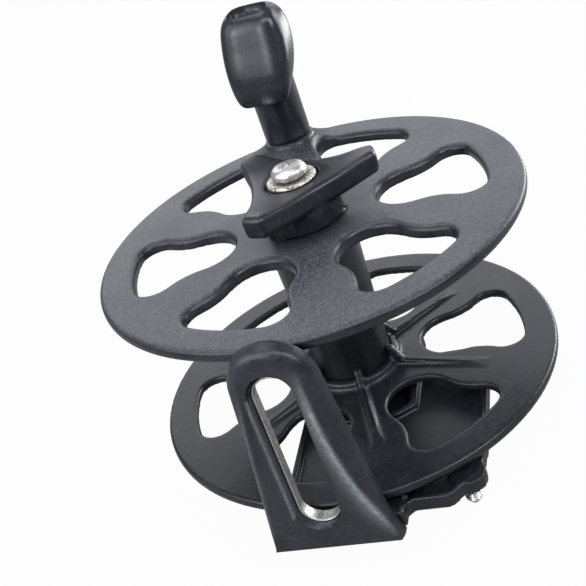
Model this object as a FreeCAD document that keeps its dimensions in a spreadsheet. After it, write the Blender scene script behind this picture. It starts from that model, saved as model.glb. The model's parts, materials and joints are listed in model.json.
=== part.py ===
import FreeCAD, Part
import math
import os
import Sketcher
from FreeCAD import Placement, Rotation, Vector

# Hand line reel: a wide spool between two six-window flanges turns on a fixed
# spindle above a moulded base. A crank grip stands on the upper flange, a
# three-lobed knob presses the drag, and the line leaves through the upright
# guide at the front.
#
# Frame: origin on the spool axis at the underside of the base, +Z up the
# spindle, -Y towards the line guide, +X towards the mounting wing.

doc = FreeCAD.newDocument("line_reel")

# ---------------------------------------------------------------- the sizes

SIZES = [
    # Spindle and its stack.
    ("spindle_radius", 5.0),
    ("spindle_head_radius", 9.0),
    ("spindle_head_height", 2.0),
    ("spindle_head_cover", 1.2),
    ("thread_radius", 4.85),
    ("thread_flat", 4.1),
    ("thread_pitch", 1.5),
    ("knob_turn", 270.0),
    ("knob_screw_radius", 2.5),
    ("knob_screw_length", 10.0),
    ("knob_screw_head_radius", 5.1),
    ("knob_screw_head_height", 3.0),
    ("knob_screw_driver_depth", 1.6),
    ("knob_washer_radius", 7.2),
    ("knob_washer_height", 1.2),
    ("lock_washer_radius", 4.3),
    ("lock_washer_height", 0.9),
    # Clearances.
    ("fit_running", 0.04),
    ("fit_slide", 0.06),
    ("gap_running", 0.3),
    ("gap_drag", 0.1),
    # Base.
    ("base_floor", 2.4),
    ("base_rim", 4.4),
    ("base_wall", 1.8),
    ("base_left", 15.7),
    ("base_right", 20.2),
    ("wing_front", 60.6),
    ("wing_reach", 41.8),
    ("wing_back", 5.0),
    ("wing_cut_side", 32.0),
    ("wing_cut_front", 51.8),
    ("wing_toe_in", 1.4),
    ("wing_toe_length", 11.8),
    ("well_front", 23.8),
    ("well_back", 19.6),
    ("well_cut_side", 6.3),
    ("well_cut_front", 4.1),
    ("well_lip", 2.4),
    ("well_floor", 1.2),
    ("hub_boss_radius", 12.0),
    ("hub_boss_height", 4.0),
    ("end_block_depth", 9.0),
    ("end_block_height", 5.2),
    # Mounting studs.
    ("stud_radius", 2.5),
    ("stud_shoulder_radius", 2.9),
    ("stud_reach", 7.5),
    ("stud_tip", 2.2),
    ("stud_side", 36.5),
    ("stud_front", 51.5),
    ("stud_spacing", 46.5),
    ("stud_head_radius", 3.6),
    ("stud_head_height", 1.8),
    ("stud_boss_radius", 5.2),
    ("stud_boss_height", 4.0),
    # Line guide.
    ("guide_gap", 1.0),
    ("guide_thickness", 5.5),
    ("guide_back_thickness", 3.2),
    ("guide_foot_half", 17.2),
    ("guide_shift", 0.7),
    ("guide_flare", 1.9),
    ("guide_flare_level", 9.0),
    ("guide_back_bevel", 1.4),
    ("guide_ridge_half", 16.7),
    ("guide_arch_radius", 11.6),
    ("guide_ridge_radius", 8.9),
    ("guide_arch_level", 55.4),
    ("slot_half", 5.75),
    ("slot_low", 14.8),
    ("slot_high", 51.55),
    ("liner_wall", 1.0),
    ("liner_depth", 4.0),
    ("funnel_width", 2.0),
    ("guide_screw_radius", 1.5),
    ("guide_screw_side", 11.0),
    ("guide_screw_level", 3.2),
    ("guide_screw_bite", 4.2),
    ("guide_screw_head_radius", 2.0),
    ("guide_screw_head_height", 1.6),
    ("guide_screw_access", 6.0),
    # Spool.
    ("upper_flange_radius", 65.0),
    ("lower_flange_radius", 63.8),
    ("spool_width", 51.0),
    ("upper_flange_thickness", 3.4),
    ("lower_flange_thickness", 2.5),
    ("lower_flange_bead", 0.7),
    ("lower_flange_bead_width", 3.2),
    ("rim_edge", 1.1),
    ("upper_hub_depth", 3.5),
    ("upper_hub_radius", 13.8),
    ("upper_hub_root", 17.0),
    ("upper_hub_root_drop", 0.8),
    ("lower_hub_radius", 13.5),
    ("lower_hub_drop", 1.2),
    ("collar_radius", 15.0),
    ("collar_height", 2.5),
    ("drum_foot_radius", 12.3),
    ("drum_head_radius", 13.3),
    ("drum_bore_radius", 5.8),
    ("drum_socket_fit", 0.05),
    ("bush_wall", 2.0),
    ("bush_length", 11.5),
    # Flange windows, measured out along the middle of one window.
    ("window_angle", 15.0),
    ("window_lobe_centre", 32.3),
    ("window_lobe_radius", 10.2),
    ("window_corner_side", 9.9),
    ("window_corner_radius", 5.8),
    ("window_outer_radius", 54.0),
    ("upper_window_edge", 1.2),
    ("lower_window_edge", 0.5),
    # Ribs of the lower flange.
    ("rib_turn", 1.0),
    ("rib_width", 2.4),
    ("rib_reach", 47.0),
    ("rib_root_height", 1.8),
    ("rib_tip_height", 0.5),
    ("gusset_height", 6.5),
    ("gusset_reach", 17.5),
    # Flange screws.
    ("flange_screw_radius", 1.5),
    ("flange_screw_circle", 9.85),
    ("flange_screw_head_radius", 2.7),
    ("flange_screw_sink", 0.1),
    ("flange_screw_length", 15.0),
    # Drag and star knob.
    ("thrust_washer_radius", 11.0),
    ("thrust_washer_height", 1.0),
    ("drag_washer_radius", 10.0),
    ("drag_washer_height", 1.0),
    ("pressure_washer_radius", 9.6),
    ("pressure_washer_height", 1.5),
    ("knob_angle", 13.0),
    ("knob_hub_radius", 11.8),
    ("knob_hub_height", 3.6),
    ("knob_centre_height", 10.5),
    ("knob_tip_radius", 25.4),
    ("knob_tip_half_width", 4.8),
    ("knob_waist_radius", 12.3),
    ("knob_tip_lift", 2.2),
    ("knob_tip_thickness", 5.6),
    ("knob_dish_radius", 11.0),
    ("knob_seat_radius", 8.4),
    ("knob_seat_depth", 1.8),
    ("insert_radius", 7.2),
    ("insert_height", 7.6),
    # Crank handle.
    ("handle_angle", 103.7),
    ("handle_inset", 11.0),
    ("handle_boss_foot", 9.5),
    ("handle_boss_head", 8.4),
    ("handle_boss_height", 4.8),
    ("handle_bolt_radius", 2.5),
    ("handle_bolt_flats", 8.0),
    ("handle_bolt_head", 3.5),
    ("handle_bolt_end", 1.0),
    ("handle_nut_height", 4.0),
    ("handle_washer_radius", 4.7),
    ("handle_washer_height", 1.0),
    ("stem_radius", 7.75),
    ("stem_length", 15.9),
    ("grip_turn", -7.0),
    ("grip_height", 28.8),
    ("grip_foot_half", 4.8),
    ("grip_cheek_half", 9.5),
    ("grip_cheek_level", 4.2),
    ("grip_side_half", 9.8),
    ("grip_side_level", 12.0),
    ("grip_shoulder_half", 9.3),
    ("grip_shoulder_level", 20.5),
    ("grip_near_foot", 10.6),
    ("grip_near_belly", 10.6),
    ("grip_near_belly_level", 8.0),
    ("grip_near_top", 5.4),
    ("grip_heel", 4.0),
    ("grip_far_middle", 2.4),
    ("grip_far_middle_level", 10.5),
    ("grip_far_belly", 7.7),
    ("grip_far_belly_level", 22.5),
    ("grip_far_top", 5.8),
    ("grip_stem_bury", 17.5),
    ("grip_recess_radius", 5.0),
    ("grip_recess_depth", 8.0),
    ("grip_bush_wall", 1.2),
]

sheet = doc.addObject("Spreadsheet::Sheet", "sizes")
for row, (alias, number) in enumerate(SIZES, start=1):
    sheet.set("A%d" % row, alias)
    sheet.set("B%d" % row, "%g" % number)
    sheet.setAlias("B%d" % row, alias)
doc.recompute()


class Size:
    """A length that knows its value and the sheet formula behind it."""

    def __init__(self, value, formula):
        self.value = float(value)
        self.formula = formula

    @staticmethod
    def of(other):
        return other if isinstance(other, Size) else Size(other, "%.9g" % other)

    def joined(self, other, sign, value):
        return Size(value, "(%s %s %s)" % (self.formula, sign, other.formula))

    def __add__(self, other):
        other = Size.of(other)
        return self.joined(other, "+", self.value + other.value)

    def __sub__(self, other):
        other = Size.of(other)
        return self.joined(other, "-", self.value - other.value)

    def __mul__(self, other):
        other = Size.of(other)
        return self.joined(other, "*", self.value * other.value)

    def __truediv__(self, other):
        other = Size.of(other)
        return self.joined(other, "/", self.value / other.value)

    def __radd__(self, other):
        return Size.of(other) + self

    def __rsub__(self, other):
        return Size.of(other) - self

    def __rmul__(self, other):
        return Size.of(other) * self

    def __neg__(self):
        return Size(-self.value, "(0 - %s)" % self.formula)


class Book:
    """Reads the sheet: z.name is the Size behind the alias of that name."""

    def __getattr__(self, alias):
        return Size(float(sheet.get(alias)), "sizes." + alias)


z = Book()


def larger(one, other):
    """The larger of two Sizes, in the sheet too."""
    formula = "max(%s; %s)" % (one.formula, other.formula)
    return Size(max(one.value, other.value), formula)


def turned(radius, angle):
    """The point at a radius and an angle about the spool axis, both Sizes."""
    turn = math.radians(angle.value)
    across = Size(math.cos(turn), "cos(%s * 1deg)" % angle.formula)
    along = Size(math.sin(turn), "sin(%s * 1deg)" % angle.formula)
    return radius * across, radius * along


# ------------------------------------------------------- modelling helpers

def bind(item, path, size):
    """Ties one property of an object to the sheet."""
    item.setExpression(path, Size.of(size).formula)


def bind_place(item, x=0, y=0, level=0, spin=None):
    """Ties an object's place, and its turn about the vertical, to the sheet."""
    x, y, level = Size.of(x), Size.of(y), Size.of(level)
    item.Placement = Placement(Vector(x.value, y.value, level.value), Rotation())
    bind(item, "Placement.Base.x", x)
    bind(item, "Placement.Base.y", y)
    bind(item, "Placement.Base.z", level)
    if spin is not None:
        spin = Size.of(spin)
        item.Placement.Rotation = Rotation(Vector(0, 0, 1), spin.value)
        bind(item, "Placement.Rotation.Angle", spin)


def new_body(label):
    body = doc.addObject("PartDesign::Body", label)
    body.Label = label
    return body


def plane_of(body, role):
    for feature in body.Origin.OriginFeatures:
        if feature.Role == role:
            return feature
    raise ValueError(role)


def new_sketch(body, name, role="XY_Plane", lift=None, spin=None):
    """A sketch on one of the body's own planes, lifted off it or turned in it."""
    sketch = body.newObject("Sketcher::SketchObject", name)
    sketch.AttachmentSupport = [(plane_of(body, role), "")]
    sketch.MapMode = "FlatFace"
    if lift is not None:
        lift = Size.of(lift)
        sketch.AttachmentOffset = Placement(Vector(0, 0, lift.value), Rotation())
        bind(sketch, "AttachmentOffset.Base.z", lift)
    if spin is not None:
        spin = Size.of(spin)
        sketch.AttachmentOffset = Placement(Vector(), Rotation(Vector(0, 1, 0), spin.value))
        bind(sketch, "AttachmentOffset.Rotation.Angle", spin)
    return sketch


def pin_point(sketch, geometry, end, point):
    """Holds one point of a sketch at a place that the sheet gives."""
    kinds = (("DistanceX", -2), ("DistanceY", -1))
    for (kind, axis), size in zip(kinds, point):
        size = Size.of(size)
        if abs(size.value) < 1e-9:
            sketch.addConstraint(Sketcher.Constraint("PointOnObject", geometry, end, axis))
            continue
        rule = Sketcher.Constraint(kind, -1, 1, geometry, end, size.value)
        number = sketch.addConstraint(rule)
        sketch.setExpression("Constraints[%d]" % number, size.formula)


def vector(point):
    return Vector(Size.of(point[0]).value, Size.of(point[1]).value, 0)


def draw_polygon(sketch, points):
    """A closed outline of straight lines with every corner held by the sheet."""
    first = sketch.GeometryCount
    count = len(points)
    for index, point in enumerate(points):
        after = points[(index + 1) % count]
        sketch.addGeometry(Part.LineSegment(vector(point), vector(after)), False)
    for index in range(count):
        after = first + (index + 1) % count
        sketch.addConstraint(Sketcher.Constraint("Coincident", first + index, 2, after, 1))
    for index, point in enumerate(points):
        pin_point(sketch, first + index, 1, point)


def draw_circle(sketch, point, radius):
    """A circle with its centre and radius held by the sheet."""
    radius = Size.of(radius)
    circle = Part.Circle(vector(point), Vector(0, 0, 1), radius.value)
    index = sketch.addGeometry(circle, False)
    pin_point(sketch, index, 3, point)
    number = sketch.addConstraint(Sketcher.Constraint("Radius", index, radius.value))
    sketch.setExpression("Constraints[%d]" % number, radius.formula)


def draw_wire(sketch, curves):
    """A closed outline of given lines and arcs, in order, joined end to end."""
    first = sketch.GeometryCount
    for curve in curves:
        sketch.addGeometry(curve, False)
        sketch.addConstraint(Sketcher.Constraint("Block", sketch.GeometryCount - 1))
    return first


def revolve(body, sketch):
    feature = body.newObject("PartDesign::Revolution", sketch.Name + "_turned")
    feature.Profile = sketch
    feature.ReferenceAxis = (sketch, ["V_Axis"])
    feature.Angle = 360
    body.Tip = feature
    return feature


def pad(body, sketch, length, middle=False, taper=None):
    feature = body.newObject("PartDesign::Pad", sketch.Name + "_pad")
    feature.Profile = sketch
    feature.Length = Size.of(length).value
    bind(feature, "Length", length)
    if middle:
        feature.SideType = "Symmetric"
    if taper is not None:
        feature.TaperAngle = taper
    body.Tip = feature
    return feature


def cut_through(body, sketch):
    """A pocket through the whole body, both ways from its sketch."""
    feature = body.newObject("PartDesign::Pocket", sketch.Name + "_cut")
    feature.Profile = sketch
    feature.SideType = "Symmetric"
    feature.Type = "ThroughAll"
    body.Tip = feature
    return feature


def cut_to(body, sketch, depth, reverse=False):
    """A pocket of a given depth from its sketch."""
    feature = body.newObject("PartDesign::Pocket", sketch.Name + "_cut")
    feature.Profile = sketch
    feature.Length = Size.of(depth).value
    bind(feature, "Length", depth)
    feature.Reversed = reverse
    body.Tip = feature
    return feature


def polar(body, feature, copies):
    """Repeats a feature round the body's own vertical axis."""
    axis = plane_of(body, "Z_Axis")
    pattern = body.newObject("PartDesign::PolarPattern", feature.Name + "_round")
    pattern.Originals = [feature]
    pattern.Axis = (axis, [""])
    pattern.Angle = 360
    pattern.Occurrences = copies
    body.Tip = pattern
    return pattern


def cylinder(name, radius, height, x=0, y=0, level=0):
    item = doc.addObject("Part::Cylinder", name)
    item.Radius = Size.of(radius).value
    item.Height = Size.of(height).value
    bind(item, "Radius", radius)
    bind(item, "Height", height)
    bind_place(item, x, y, level)
    return item


def cone(name, low_radius, high_radius, height, x=0, y=0, level=0):
    item = doc.addObject("Part::Cone", name)
    item.Radius1 = Size.of(low_radius).value
    item.Radius2 = Size.of(high_radius).value
    item.Height = Size.of(height).value
    bind(item, "Radius1", low_radius)
    bind(item, "Radius2", high_radius)
    bind(item, "Height", height)
    bind_place(item, x, y, level)
    return item


def hexagon(name, flats, height, x=0, y=0, level=0):
    """A hexagonal prism with the given width across its flats."""
    item = doc.addObject("Part::Prism", name)
    item.Polygon = 6
    item.Circumradius = Size.of(flats).value / math.sqrt(3)
    item.Height = Size.of(height).value
    bind(item, "Circumradius", Size.of(flats) / math.sqrt(3))
    bind(item, "Height", height)
    bind_place(item, x, y, level)
    return item


def lay_forward(item):
    """Turns an upright shape so that it runs towards the front, along -Y."""
    item.Placement.Rotation = Rotation(Vector(1, 0, 0), 90)


def joined(label, items):
    item = doc.addObject("Part::MultiFuse", label)
    item.Label = label
    item.Shapes = items
    return item


def cut(label, base, tool):
    item = doc.addObject("Part::Cut", label)
    item.Label = label
    item.Base = base
    item.Tool = tool
    return item


def ring(label, outer, inner, height, level):
    """A plain washer or bush about the spool axis."""
    blank = cylinder(label + "_blank", outer, height, level=level)
    hole = cylinder(label + "_hole", inner, height + 2, level=level - 1)
    return cut(label, blank, hole)


def corner_points(before, corner, after, radius):
    """Where a rounded corner leaves one side and joins the next."""
    back = (before - corner).normalize()
    ahead = (after - corner).normalize()
    half = back.getAngle(ahead) / 2
    reach = radius / math.tan(half)
    middle = (back + ahead).normalize()
    heart = corner + middle * (radius / math.sin(half))
    crown = heart - middle * radius
    return corner + back * reach, crown, corner + ahead * reach


def rounded_outline(corners):
    """Lines and arcs round a polygon whose corners are (x, y, radius)."""
    count = len(corners)
    spots = [Vector(x, y, 0) for x, y, _ in corners]
    turns = []
    for index in range(count):
        before = spots[index - 1]
        after = spots[(index + 1) % count]
        radius = max(corners[index][2], 0.05)
        turns.append(corner_points(before, spots[index], after, radius))
    curves = []
    for index, (start, crown, end) in enumerate(turns):
        curves.append(Part.Arc(start, crown, end))
        curves.append(Part.LineSegment(end, turns[(index + 1) % count][0]))
    return curves


def inset(corners, wall):
    """The same outline, counter-clockwise, moved inwards by a wall."""
    count = len(corners)
    moved = []
    for index, (x, y, radius) in enumerate(corners):
        spot = Vector(x, y, 0)
        before = Vector(corners[index - 1][0], corners[index - 1][1], 0)
        nxt = corners[(index + 1) % count]
        after = Vector(nxt[0], nxt[1], 0)
        way_in = (spot - before).normalize()
        way_out = (after - spot).normalize()
        side_in = Vector(-way_in.y, way_in.x, 0)
        side_out = Vector(-way_out.y, way_out.x, 0)
        both = side_in + side_out
        step = both * (2 * wall / both.dot(both))
        turn = way_in.cross(way_out).z
        inner = radius - wall if turn > 0 else radius + wall
        moved.append((x + step.x, y + step.y, max(inner, 0.3)))
    return moved


# --------------------------------------------------- levels up the spindle

spool_foot = z.hub_boss_height + z.thrust_washer_height + z.gap_running
lower_web = spool_foot + z.lower_hub_drop
lower_face = lower_web + z.lower_flange_thickness
upper_face = lower_face + z.spool_width
spool_top = upper_face + z.upper_flange_thickness
pressure_foot = spool_top + z.drag_washer_height + z.gap_drag
knob_foot = pressure_foot + z.pressure_washer_height + z.gap_drag
knob_travel = z.thread_pitch * z.knob_turn / 360
knob_seat = knob_foot + z.knob_centre_height - z.knob_seat_depth
spindle_end = knob_seat + knob_travel + z.gap_drag
bush_outer = z.spindle_radius + z.fit_running + z.bush_wall
drum_head = upper_face - z.upper_hub_depth
handle_radius = z.upper_flange_radius - z.handle_inset
handle_x, handle_y = turned(handle_radius, z.handle_angle)
base_front = larger(z.upper_flange_radius, z.lower_flange_radius) + z.guide_gap
grip_foot = spool_top + z.handle_boss_height + z.gap_running

# ------------------------------------------------------------------- base
# A shallow tray with a thin rim: the neck runs forward to the guide, the
# wing carries the mounting studs, and a well with cut corners holds the hub.

left, right = z.base_left.value, z.base_right.value
reach = z.wing_reach.value
front, back = z.well_front.value, z.well_back.value
cut_side, cut_front = z.well_cut_side.value, z.well_cut_front.value
tray = [
    (-left, -base_front.value, 1.0),
    (right, -base_front.value, 0.8),
    (right, -z.wing_front.value, 3.0),
    (z.wing_cut_side.value, -z.wing_front.value, 2.5),
    (reach - z.wing_toe_in.value, -z.wing_cut_front.value, 3.0),
    (reach, z.wing_toe_length.value - z.wing_cut_front.value, 20.0),
    (reach, z.wing_back.value, 6.0),
    (right, z.wing_back.value, 2.0),
    (right, back - cut_front, 0.8),
    (right - cut_side, back, 1.5),
    (cut_side - left, back, 1.5),
    (-left, back - cut_front, 1.5),
]
well = [
    (right, cut_front - front, 1.5),
    (right, back - cut_front, 1.5),
    (right - cut_side, back, 1.5),
    (cut_side - left, back, 1.5),
    (-left, back - cut_front, 1.5),
    (-left, cut_front - front, 1.5),
    (cut_side - left, -front, 1.5),
    (right - cut_side, -front, 1.5),
]

base = new_body("base_moulding")
sketch = new_sketch(base, "tray_floor")
draw_wire(sketch, rounded_outline(tray))
pad(base, sketch, z.base_floor)

sketch = new_sketch(base, "tray_rim")
draw_wire(sketch, rounded_outline(tray))
draw_wire(sketch, rounded_outline(inset(tray, z.base_wall.value)))
pad(base, sketch, z.base_rim)

sketch = new_sketch(base, "well_lip")
draw_wire(sketch, rounded_outline(well))
draw_wire(sketch, rounded_outline(inset(well, z.well_lip.value)))
pad(base, sketch, z.base_rim)

sketch = new_sketch(base, "end_block")
block_left = z.base_wall / 2 - z.base_left
block_right = z.base_right - z.base_wall / 2
block_back = z.end_block_depth - base_front
draw_polygon(sketch, [
    (block_left, -base_front),
    (block_right, -base_front),
    (block_right, block_back),
    (block_left, block_back),
])
pad(base, sketch, z.end_block_height)

for name, place in (("stud_boss_front", -z.stud_front),
                    ("stud_boss_back", z.stud_spacing - z.stud_front)):
    sketch = new_sketch(base, name)
    draw_circle(sketch, (z.stud_side, place), z.stud_boss_radius)
    pad(base, sketch, z.stud_boss_height)

sketch = new_sketch(base, "well_pocket", lift=z.base_floor)
draw_wire(sketch, rounded_outline(inset(well, z.well_lip.value)))
cut_to(base, sketch, z.base_floor - z.well_floor)

sketch = new_sketch(base, "hub_boss")
draw_circle(sketch, (0, 0), z.hub_boss_radius)
pad(base, sketch, z.hub_boss_height)

# The spindle's head and the stud heads are moulded into the base.
embedded = [
    cylinder("head_seat", z.spindle_head_radius, z.spindle_head_height,
             level=z.spindle_head_cover),
    cylinder("spindle_way", z.spindle_radius, z.hub_boss_height,
             level=z.spindle_head_cover),
]
stud_floor = z.stud_boss_height - z.stud_head_height - 0.9
for name, place in (("front", -z.stud_front),
                    ("back", z.stud_spacing - z.stud_front)):
    embedded.append(cylinder("stud_head_seat_" + name, z.stud_head_radius,
                             z.stud_head_height, z.stud_side, place, stud_floor))
    embedded.append(cylinder("stud_way_" + name, z.stud_shoulder_radius, stud_floor + 2,
                             z.stud_side, place, -1))
screw_back = block_back
for name, side in (("left", -z.guide_screw_side), ("right", z.guide_screw_side)):
    way = cylinder("screw_way_" + name, z.guide_screw_radius,
                   z.end_block_depth + 2, side, screw_back + 1, z.guide_screw_level)
    lay_forward(way)
    trough = cylinder("screw_trough_" + name, z.guide_screw_head_radius + 0.3,
                      z.guide_screw_access, side,
                      screw_back + z.guide_screw_access, z.guide_screw_level)
    lay_forward(trough)
    embedded.append(way)
    embedded.append(trough)
cut("base_frame", base, joined("base_voids", embedded))

# --------------------------------------------------------------- line guide
# A tall arched plate against the front of the base. Its front face narrows
# to a ridge, and the slot opens forward in a funnel round the steel liner.


def arch_wire(foot, radius, level, flare=0.0, shift=0.0):
    """Foot, two leaning sides and a round head, as a closed outline.

    The right-hand side may be shifted out, and flare near the foot."""
    lean = math.atan2(foot - radius, level)
    tangent = Vector(radius * math.cos(lean), level + radius * math.sin(lean), 0)
    start = tangent + Vector(shift, 0, 0)
    share = z.guide_flare_level.value / start.y
    knee = Vector(foot + shift - (foot + shift - start.x) * share,
                  z.guide_flare_level.value, 0)
    low_right = Vector(foot + shift + flare, 0, 0)
    low_left = Vector(-foot, 0, 0)
    end = Vector(-tangent.x, tangent.y, 0)
    crown = Vector(shift / 2, level + radius, 0)
    return [
        Part.LineSegment(low_left, low_right),
        Part.LineSegment(low_right, knee),
        Part.LineSegment(knee, start),
        Part.Arc(start, crown, end),
        Part.LineSegment(end, low_left),
    ]


def slot_wire(half_width):
    """An upright slot with round ends."""
    low = z.slot_low.value
    high = z.slot_high.value
    return [
        Part.LineSegment(Vector(half_width, low, 0), Vector(half_width, high, 0)),
        Part.Arc(Vector(half_width, high, 0), Vector(0, high + half_width, 0),
                 Vector(-half_width, high, 0)),
        Part.LineSegment(Vector(-half_width, high, 0), Vector(-half_width, low, 0)),
        Part.Arc(Vector(-half_width, low, 0), Vector(0, low - half_width, 0),
                 Vector(half_width, low, 0)),
    ]


def loft(body, kind, name, first, second):
    feature = body.newObject("PartDesign::" + kind, name)
    feature.Profile = first
    feature.Sections = [second]
    feature.Ruled = True
    body.Tip = feature
    return feature


slot_outer = z.slot_half.value + z.liner_wall.value
guide = new_body("guide_moulding")
bevel = z.guide_back_bevel.value
back_wire = arch_wire(z.guide_foot_half.value - bevel / 2,
                      z.guide_arch_radius.value - bevel,
                      z.guide_arch_level.value, z.guide_flare.value,
                      z.guide_shift.value)
full_wire = arch_wire(z.guide_foot_half.value, z.guide_arch_radius.value,
                      z.guide_arch_level.value, z.guide_flare.value,
                      z.guide_shift.value)
ridge_wire = arch_wire(z.guide_ridge_half.value, z.guide_ridge_radius.value,
                       z.guide_arch_level.value, shift=z.guide_shift.value)
low_sketch = new_sketch(guide, "guide_back", "XZ_Plane")
draw_wire(low_sketch, back_wire)
high_sketch = new_sketch(guide, "guide_back_edge", "XZ_Plane", lift=z.guide_back_bevel)
draw_wire(high_sketch, full_wire)
loft(guide, "AdditiveLoft", "guide_back_bevel", low_sketch, high_sketch)
sketch = new_sketch(guide, "guide_middle", "XZ_Plane", lift=z.guide_back_bevel)
draw_wire(sketch, full_wire)
pad(guide, sketch, z.guide_back_thickness - z.guide_back_bevel)

low_sketch = new_sketch(guide, "guide_shoulder", "XZ_Plane", lift=z.guide_back_thickness)
draw_wire(low_sketch, full_wire)
high_sketch = new_sketch(guide, "guide_ridge", "XZ_Plane", lift=z.guide_thickness)
draw_wire(high_sketch, ridge_wire)
loft(guide, "AdditiveLoft", "guide_bevel", low_sketch, high_sketch)

sketch = new_sketch(guide, "liner_seat", "XZ_Plane")
draw_wire(sketch, slot_wire(slot_outer))
cut_to(guide, sketch, z.liner_depth, reverse=True)

low_sketch = new_sketch(guide, "funnel_throat", "XZ_Plane", lift=z.liner_depth)
draw_wire(low_sketch, slot_wire(z.slot_half.value))
high_sketch = new_sketch(guide, "funnel_mouth", "XZ_Plane", lift=z.guide_thickness)
draw_wire(high_sketch, slot_wire(z.slot_half.value + z.funnel_width.value))
loft(guide, "SubtractiveLoft", "guide_funnel", low_sketch, high_sketch)
bind_place(guide, y=-base_front)

screw_bores = []
for name, side in (("left", -z.guide_screw_side), ("right", z.guide_screw_side)):
    bore = cylinder("guide_bore_" + name, z.guide_screw_radius,
                    z.guide_screw_bite + 1, side, 1 - base_front, z.guide_screw_level)
    lay_forward(bore)
    screw_bores.append(bore)
cut("line_guide", guide, joined("guide_bores", screw_bores))

liner = new_body("guide_liner")
sketch = new_sketch(liner, "liner_section", "XZ_Plane")
draw_wire(sketch, slot_wire(slot_outer))
draw_wire(sketch, slot_wire(z.slot_half.value))
pad(liner, sketch, z.liner_depth)
bind_place(liner, y=-base_front)

screws = []
for name, side in (("left", -z.guide_screw_side), ("right", z.guide_screw_side)):
    shank = cylinder("guide_shank_" + name, z.guide_screw_radius,
                     z.end_block_depth + z.guide_screw_bite, side,
                     screw_back, z.guide_screw_level)
    lay_forward(shank)
    head = cylinder("guide_head_" + name, z.guide_screw_head_radius,
                    z.guide_screw_head_height, side,
                    screw_back + z.guide_screw_head_height, z.guide_screw_level)
    lay_forward(head)
    screws.append(shank)
    screws.append(head)
joined("guide_screws", screws)

# ------------------------------------------------- spindle and fixed stack

head = cylinder("spindle_head", z.spindle_head_radius, z.spindle_head_height,
                level=z.spindle_head_cover)
shaft_top = spool_top + z.drag_washer_height
shaft = cylinder("spindle_shaft", z.spindle_radius, shaft_top - z.spindle_head_cover,
                 level=z.spindle_head_cover)
stem_top = spindle_end - shaft_top
thread = cylinder("spindle_thread", z.thread_radius, stem_top, level=shaft_top)
keyway = doc.addObject("Part::Box", "spindle_flats")
bind(keyway, "Length", z.thread_flat * 2)
bind(keyway, "Width", z.spindle_radius * 4)
bind(keyway, "Height", stem_top)
bind_place(keyway, -z.thread_flat, -z.spindle_radius * 2, shaft_top)
flatted = doc.addObject("Part::MultiCommon", "spindle_end")
flatted.Shapes = [thread, keyway]
tapped = cylinder("spindle_tapping", z.knob_screw_radius, z.knob_screw_length + 1,
                  level=spindle_end - z.knob_screw_length)
cut("spindle", joined("spindle_bar", [head, shaft, flatted]), tapped)

ring("thrust_washer", z.thrust_washer_radius, z.spindle_radius + z.fit_slide,
     z.thrust_washer_height, z.hub_boss_height)

ring("knob_washer", z.knob_washer_radius, z.knob_screw_radius + 0.15,
     z.knob_washer_height, spindle_end)

ring("lock_washer", z.lock_washer_radius, z.knob_screw_radius + 0.15,
     z.lock_washer_height, spindle_end + z.knob_washer_height)

head_foot = spindle_end + z.knob_washer_height + z.lock_washer_height
screw_reach = z.knob_screw_length + z.knob_washer_height + z.lock_washer_height - 0.5
screw = new_body("knob_screw")
sketch = new_sketch(screw, "knob_screw_section", "XZ_Plane")
pan = z.knob_screw_head_height
draw_polygon(sketch, [
    (0, -screw_reach),
    (z.knob_screw_radius, -screw_reach),
    (z.knob_screw_radius, 0),
    (z.knob_screw_head_radius, 0),
    (z.knob_screw_head_radius, pan * 0.45),
    (z.knob_screw_head_radius * 0.93, pan * 0.78),
    (z.knob_screw_head_radius * 0.72, pan),
    (0, pan),
])
revolve(screw, sketch)
for name, spin in (("driver_slot_one", 0), ("driver_slot_two", 90)):
    sketch = new_sketch(screw, name, lift=pan)
    long_side = z.knob_screw_head_radius * 0.52
    short_side = z.knob_screw_head_radius * 0.11
    if spin == 0:
        wide, tall = long_side, short_side
    else:
        wide, tall = short_side, long_side
    draw_polygon(sketch, [(-wide, -tall), (wide, -tall), (wide, tall), (-wide, tall)])
    cut_to(screw, sketch, z.knob_screw_driver_depth)
bind_place(screw, level=head_foot)

studs = []
for name, place in (("front", -z.stud_front),
                    ("back", z.stud_spacing - z.stud_front)):
    studs.append(cylinder("stud_head_" + name, z.stud_head_radius,
                          z.stud_head_height, z.stud_side, place, stud_floor))
    studs.append(cylinder("stud_shoulder_" + name, z.stud_shoulder_radius,
                          stud_floor, z.stud_side, place))
    studs.append(cylinder("stud_shank_" + name, z.stud_radius,
                          z.stud_reach - z.stud_tip, z.stud_side, place,
                          z.stud_tip - z.stud_reach))
    studs.append(cone("stud_point_" + name, z.stud_radius * 0.6, z.stud_radius,
                      z.stud_tip, z.stud_side, place, -z.stud_reach))
joined("mount_studs", studs)

# ------------------------------------------------------------ spool flanges
# Each window starts round near the hub, narrows at a waist and flares into
# two round corners under the rim.


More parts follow.
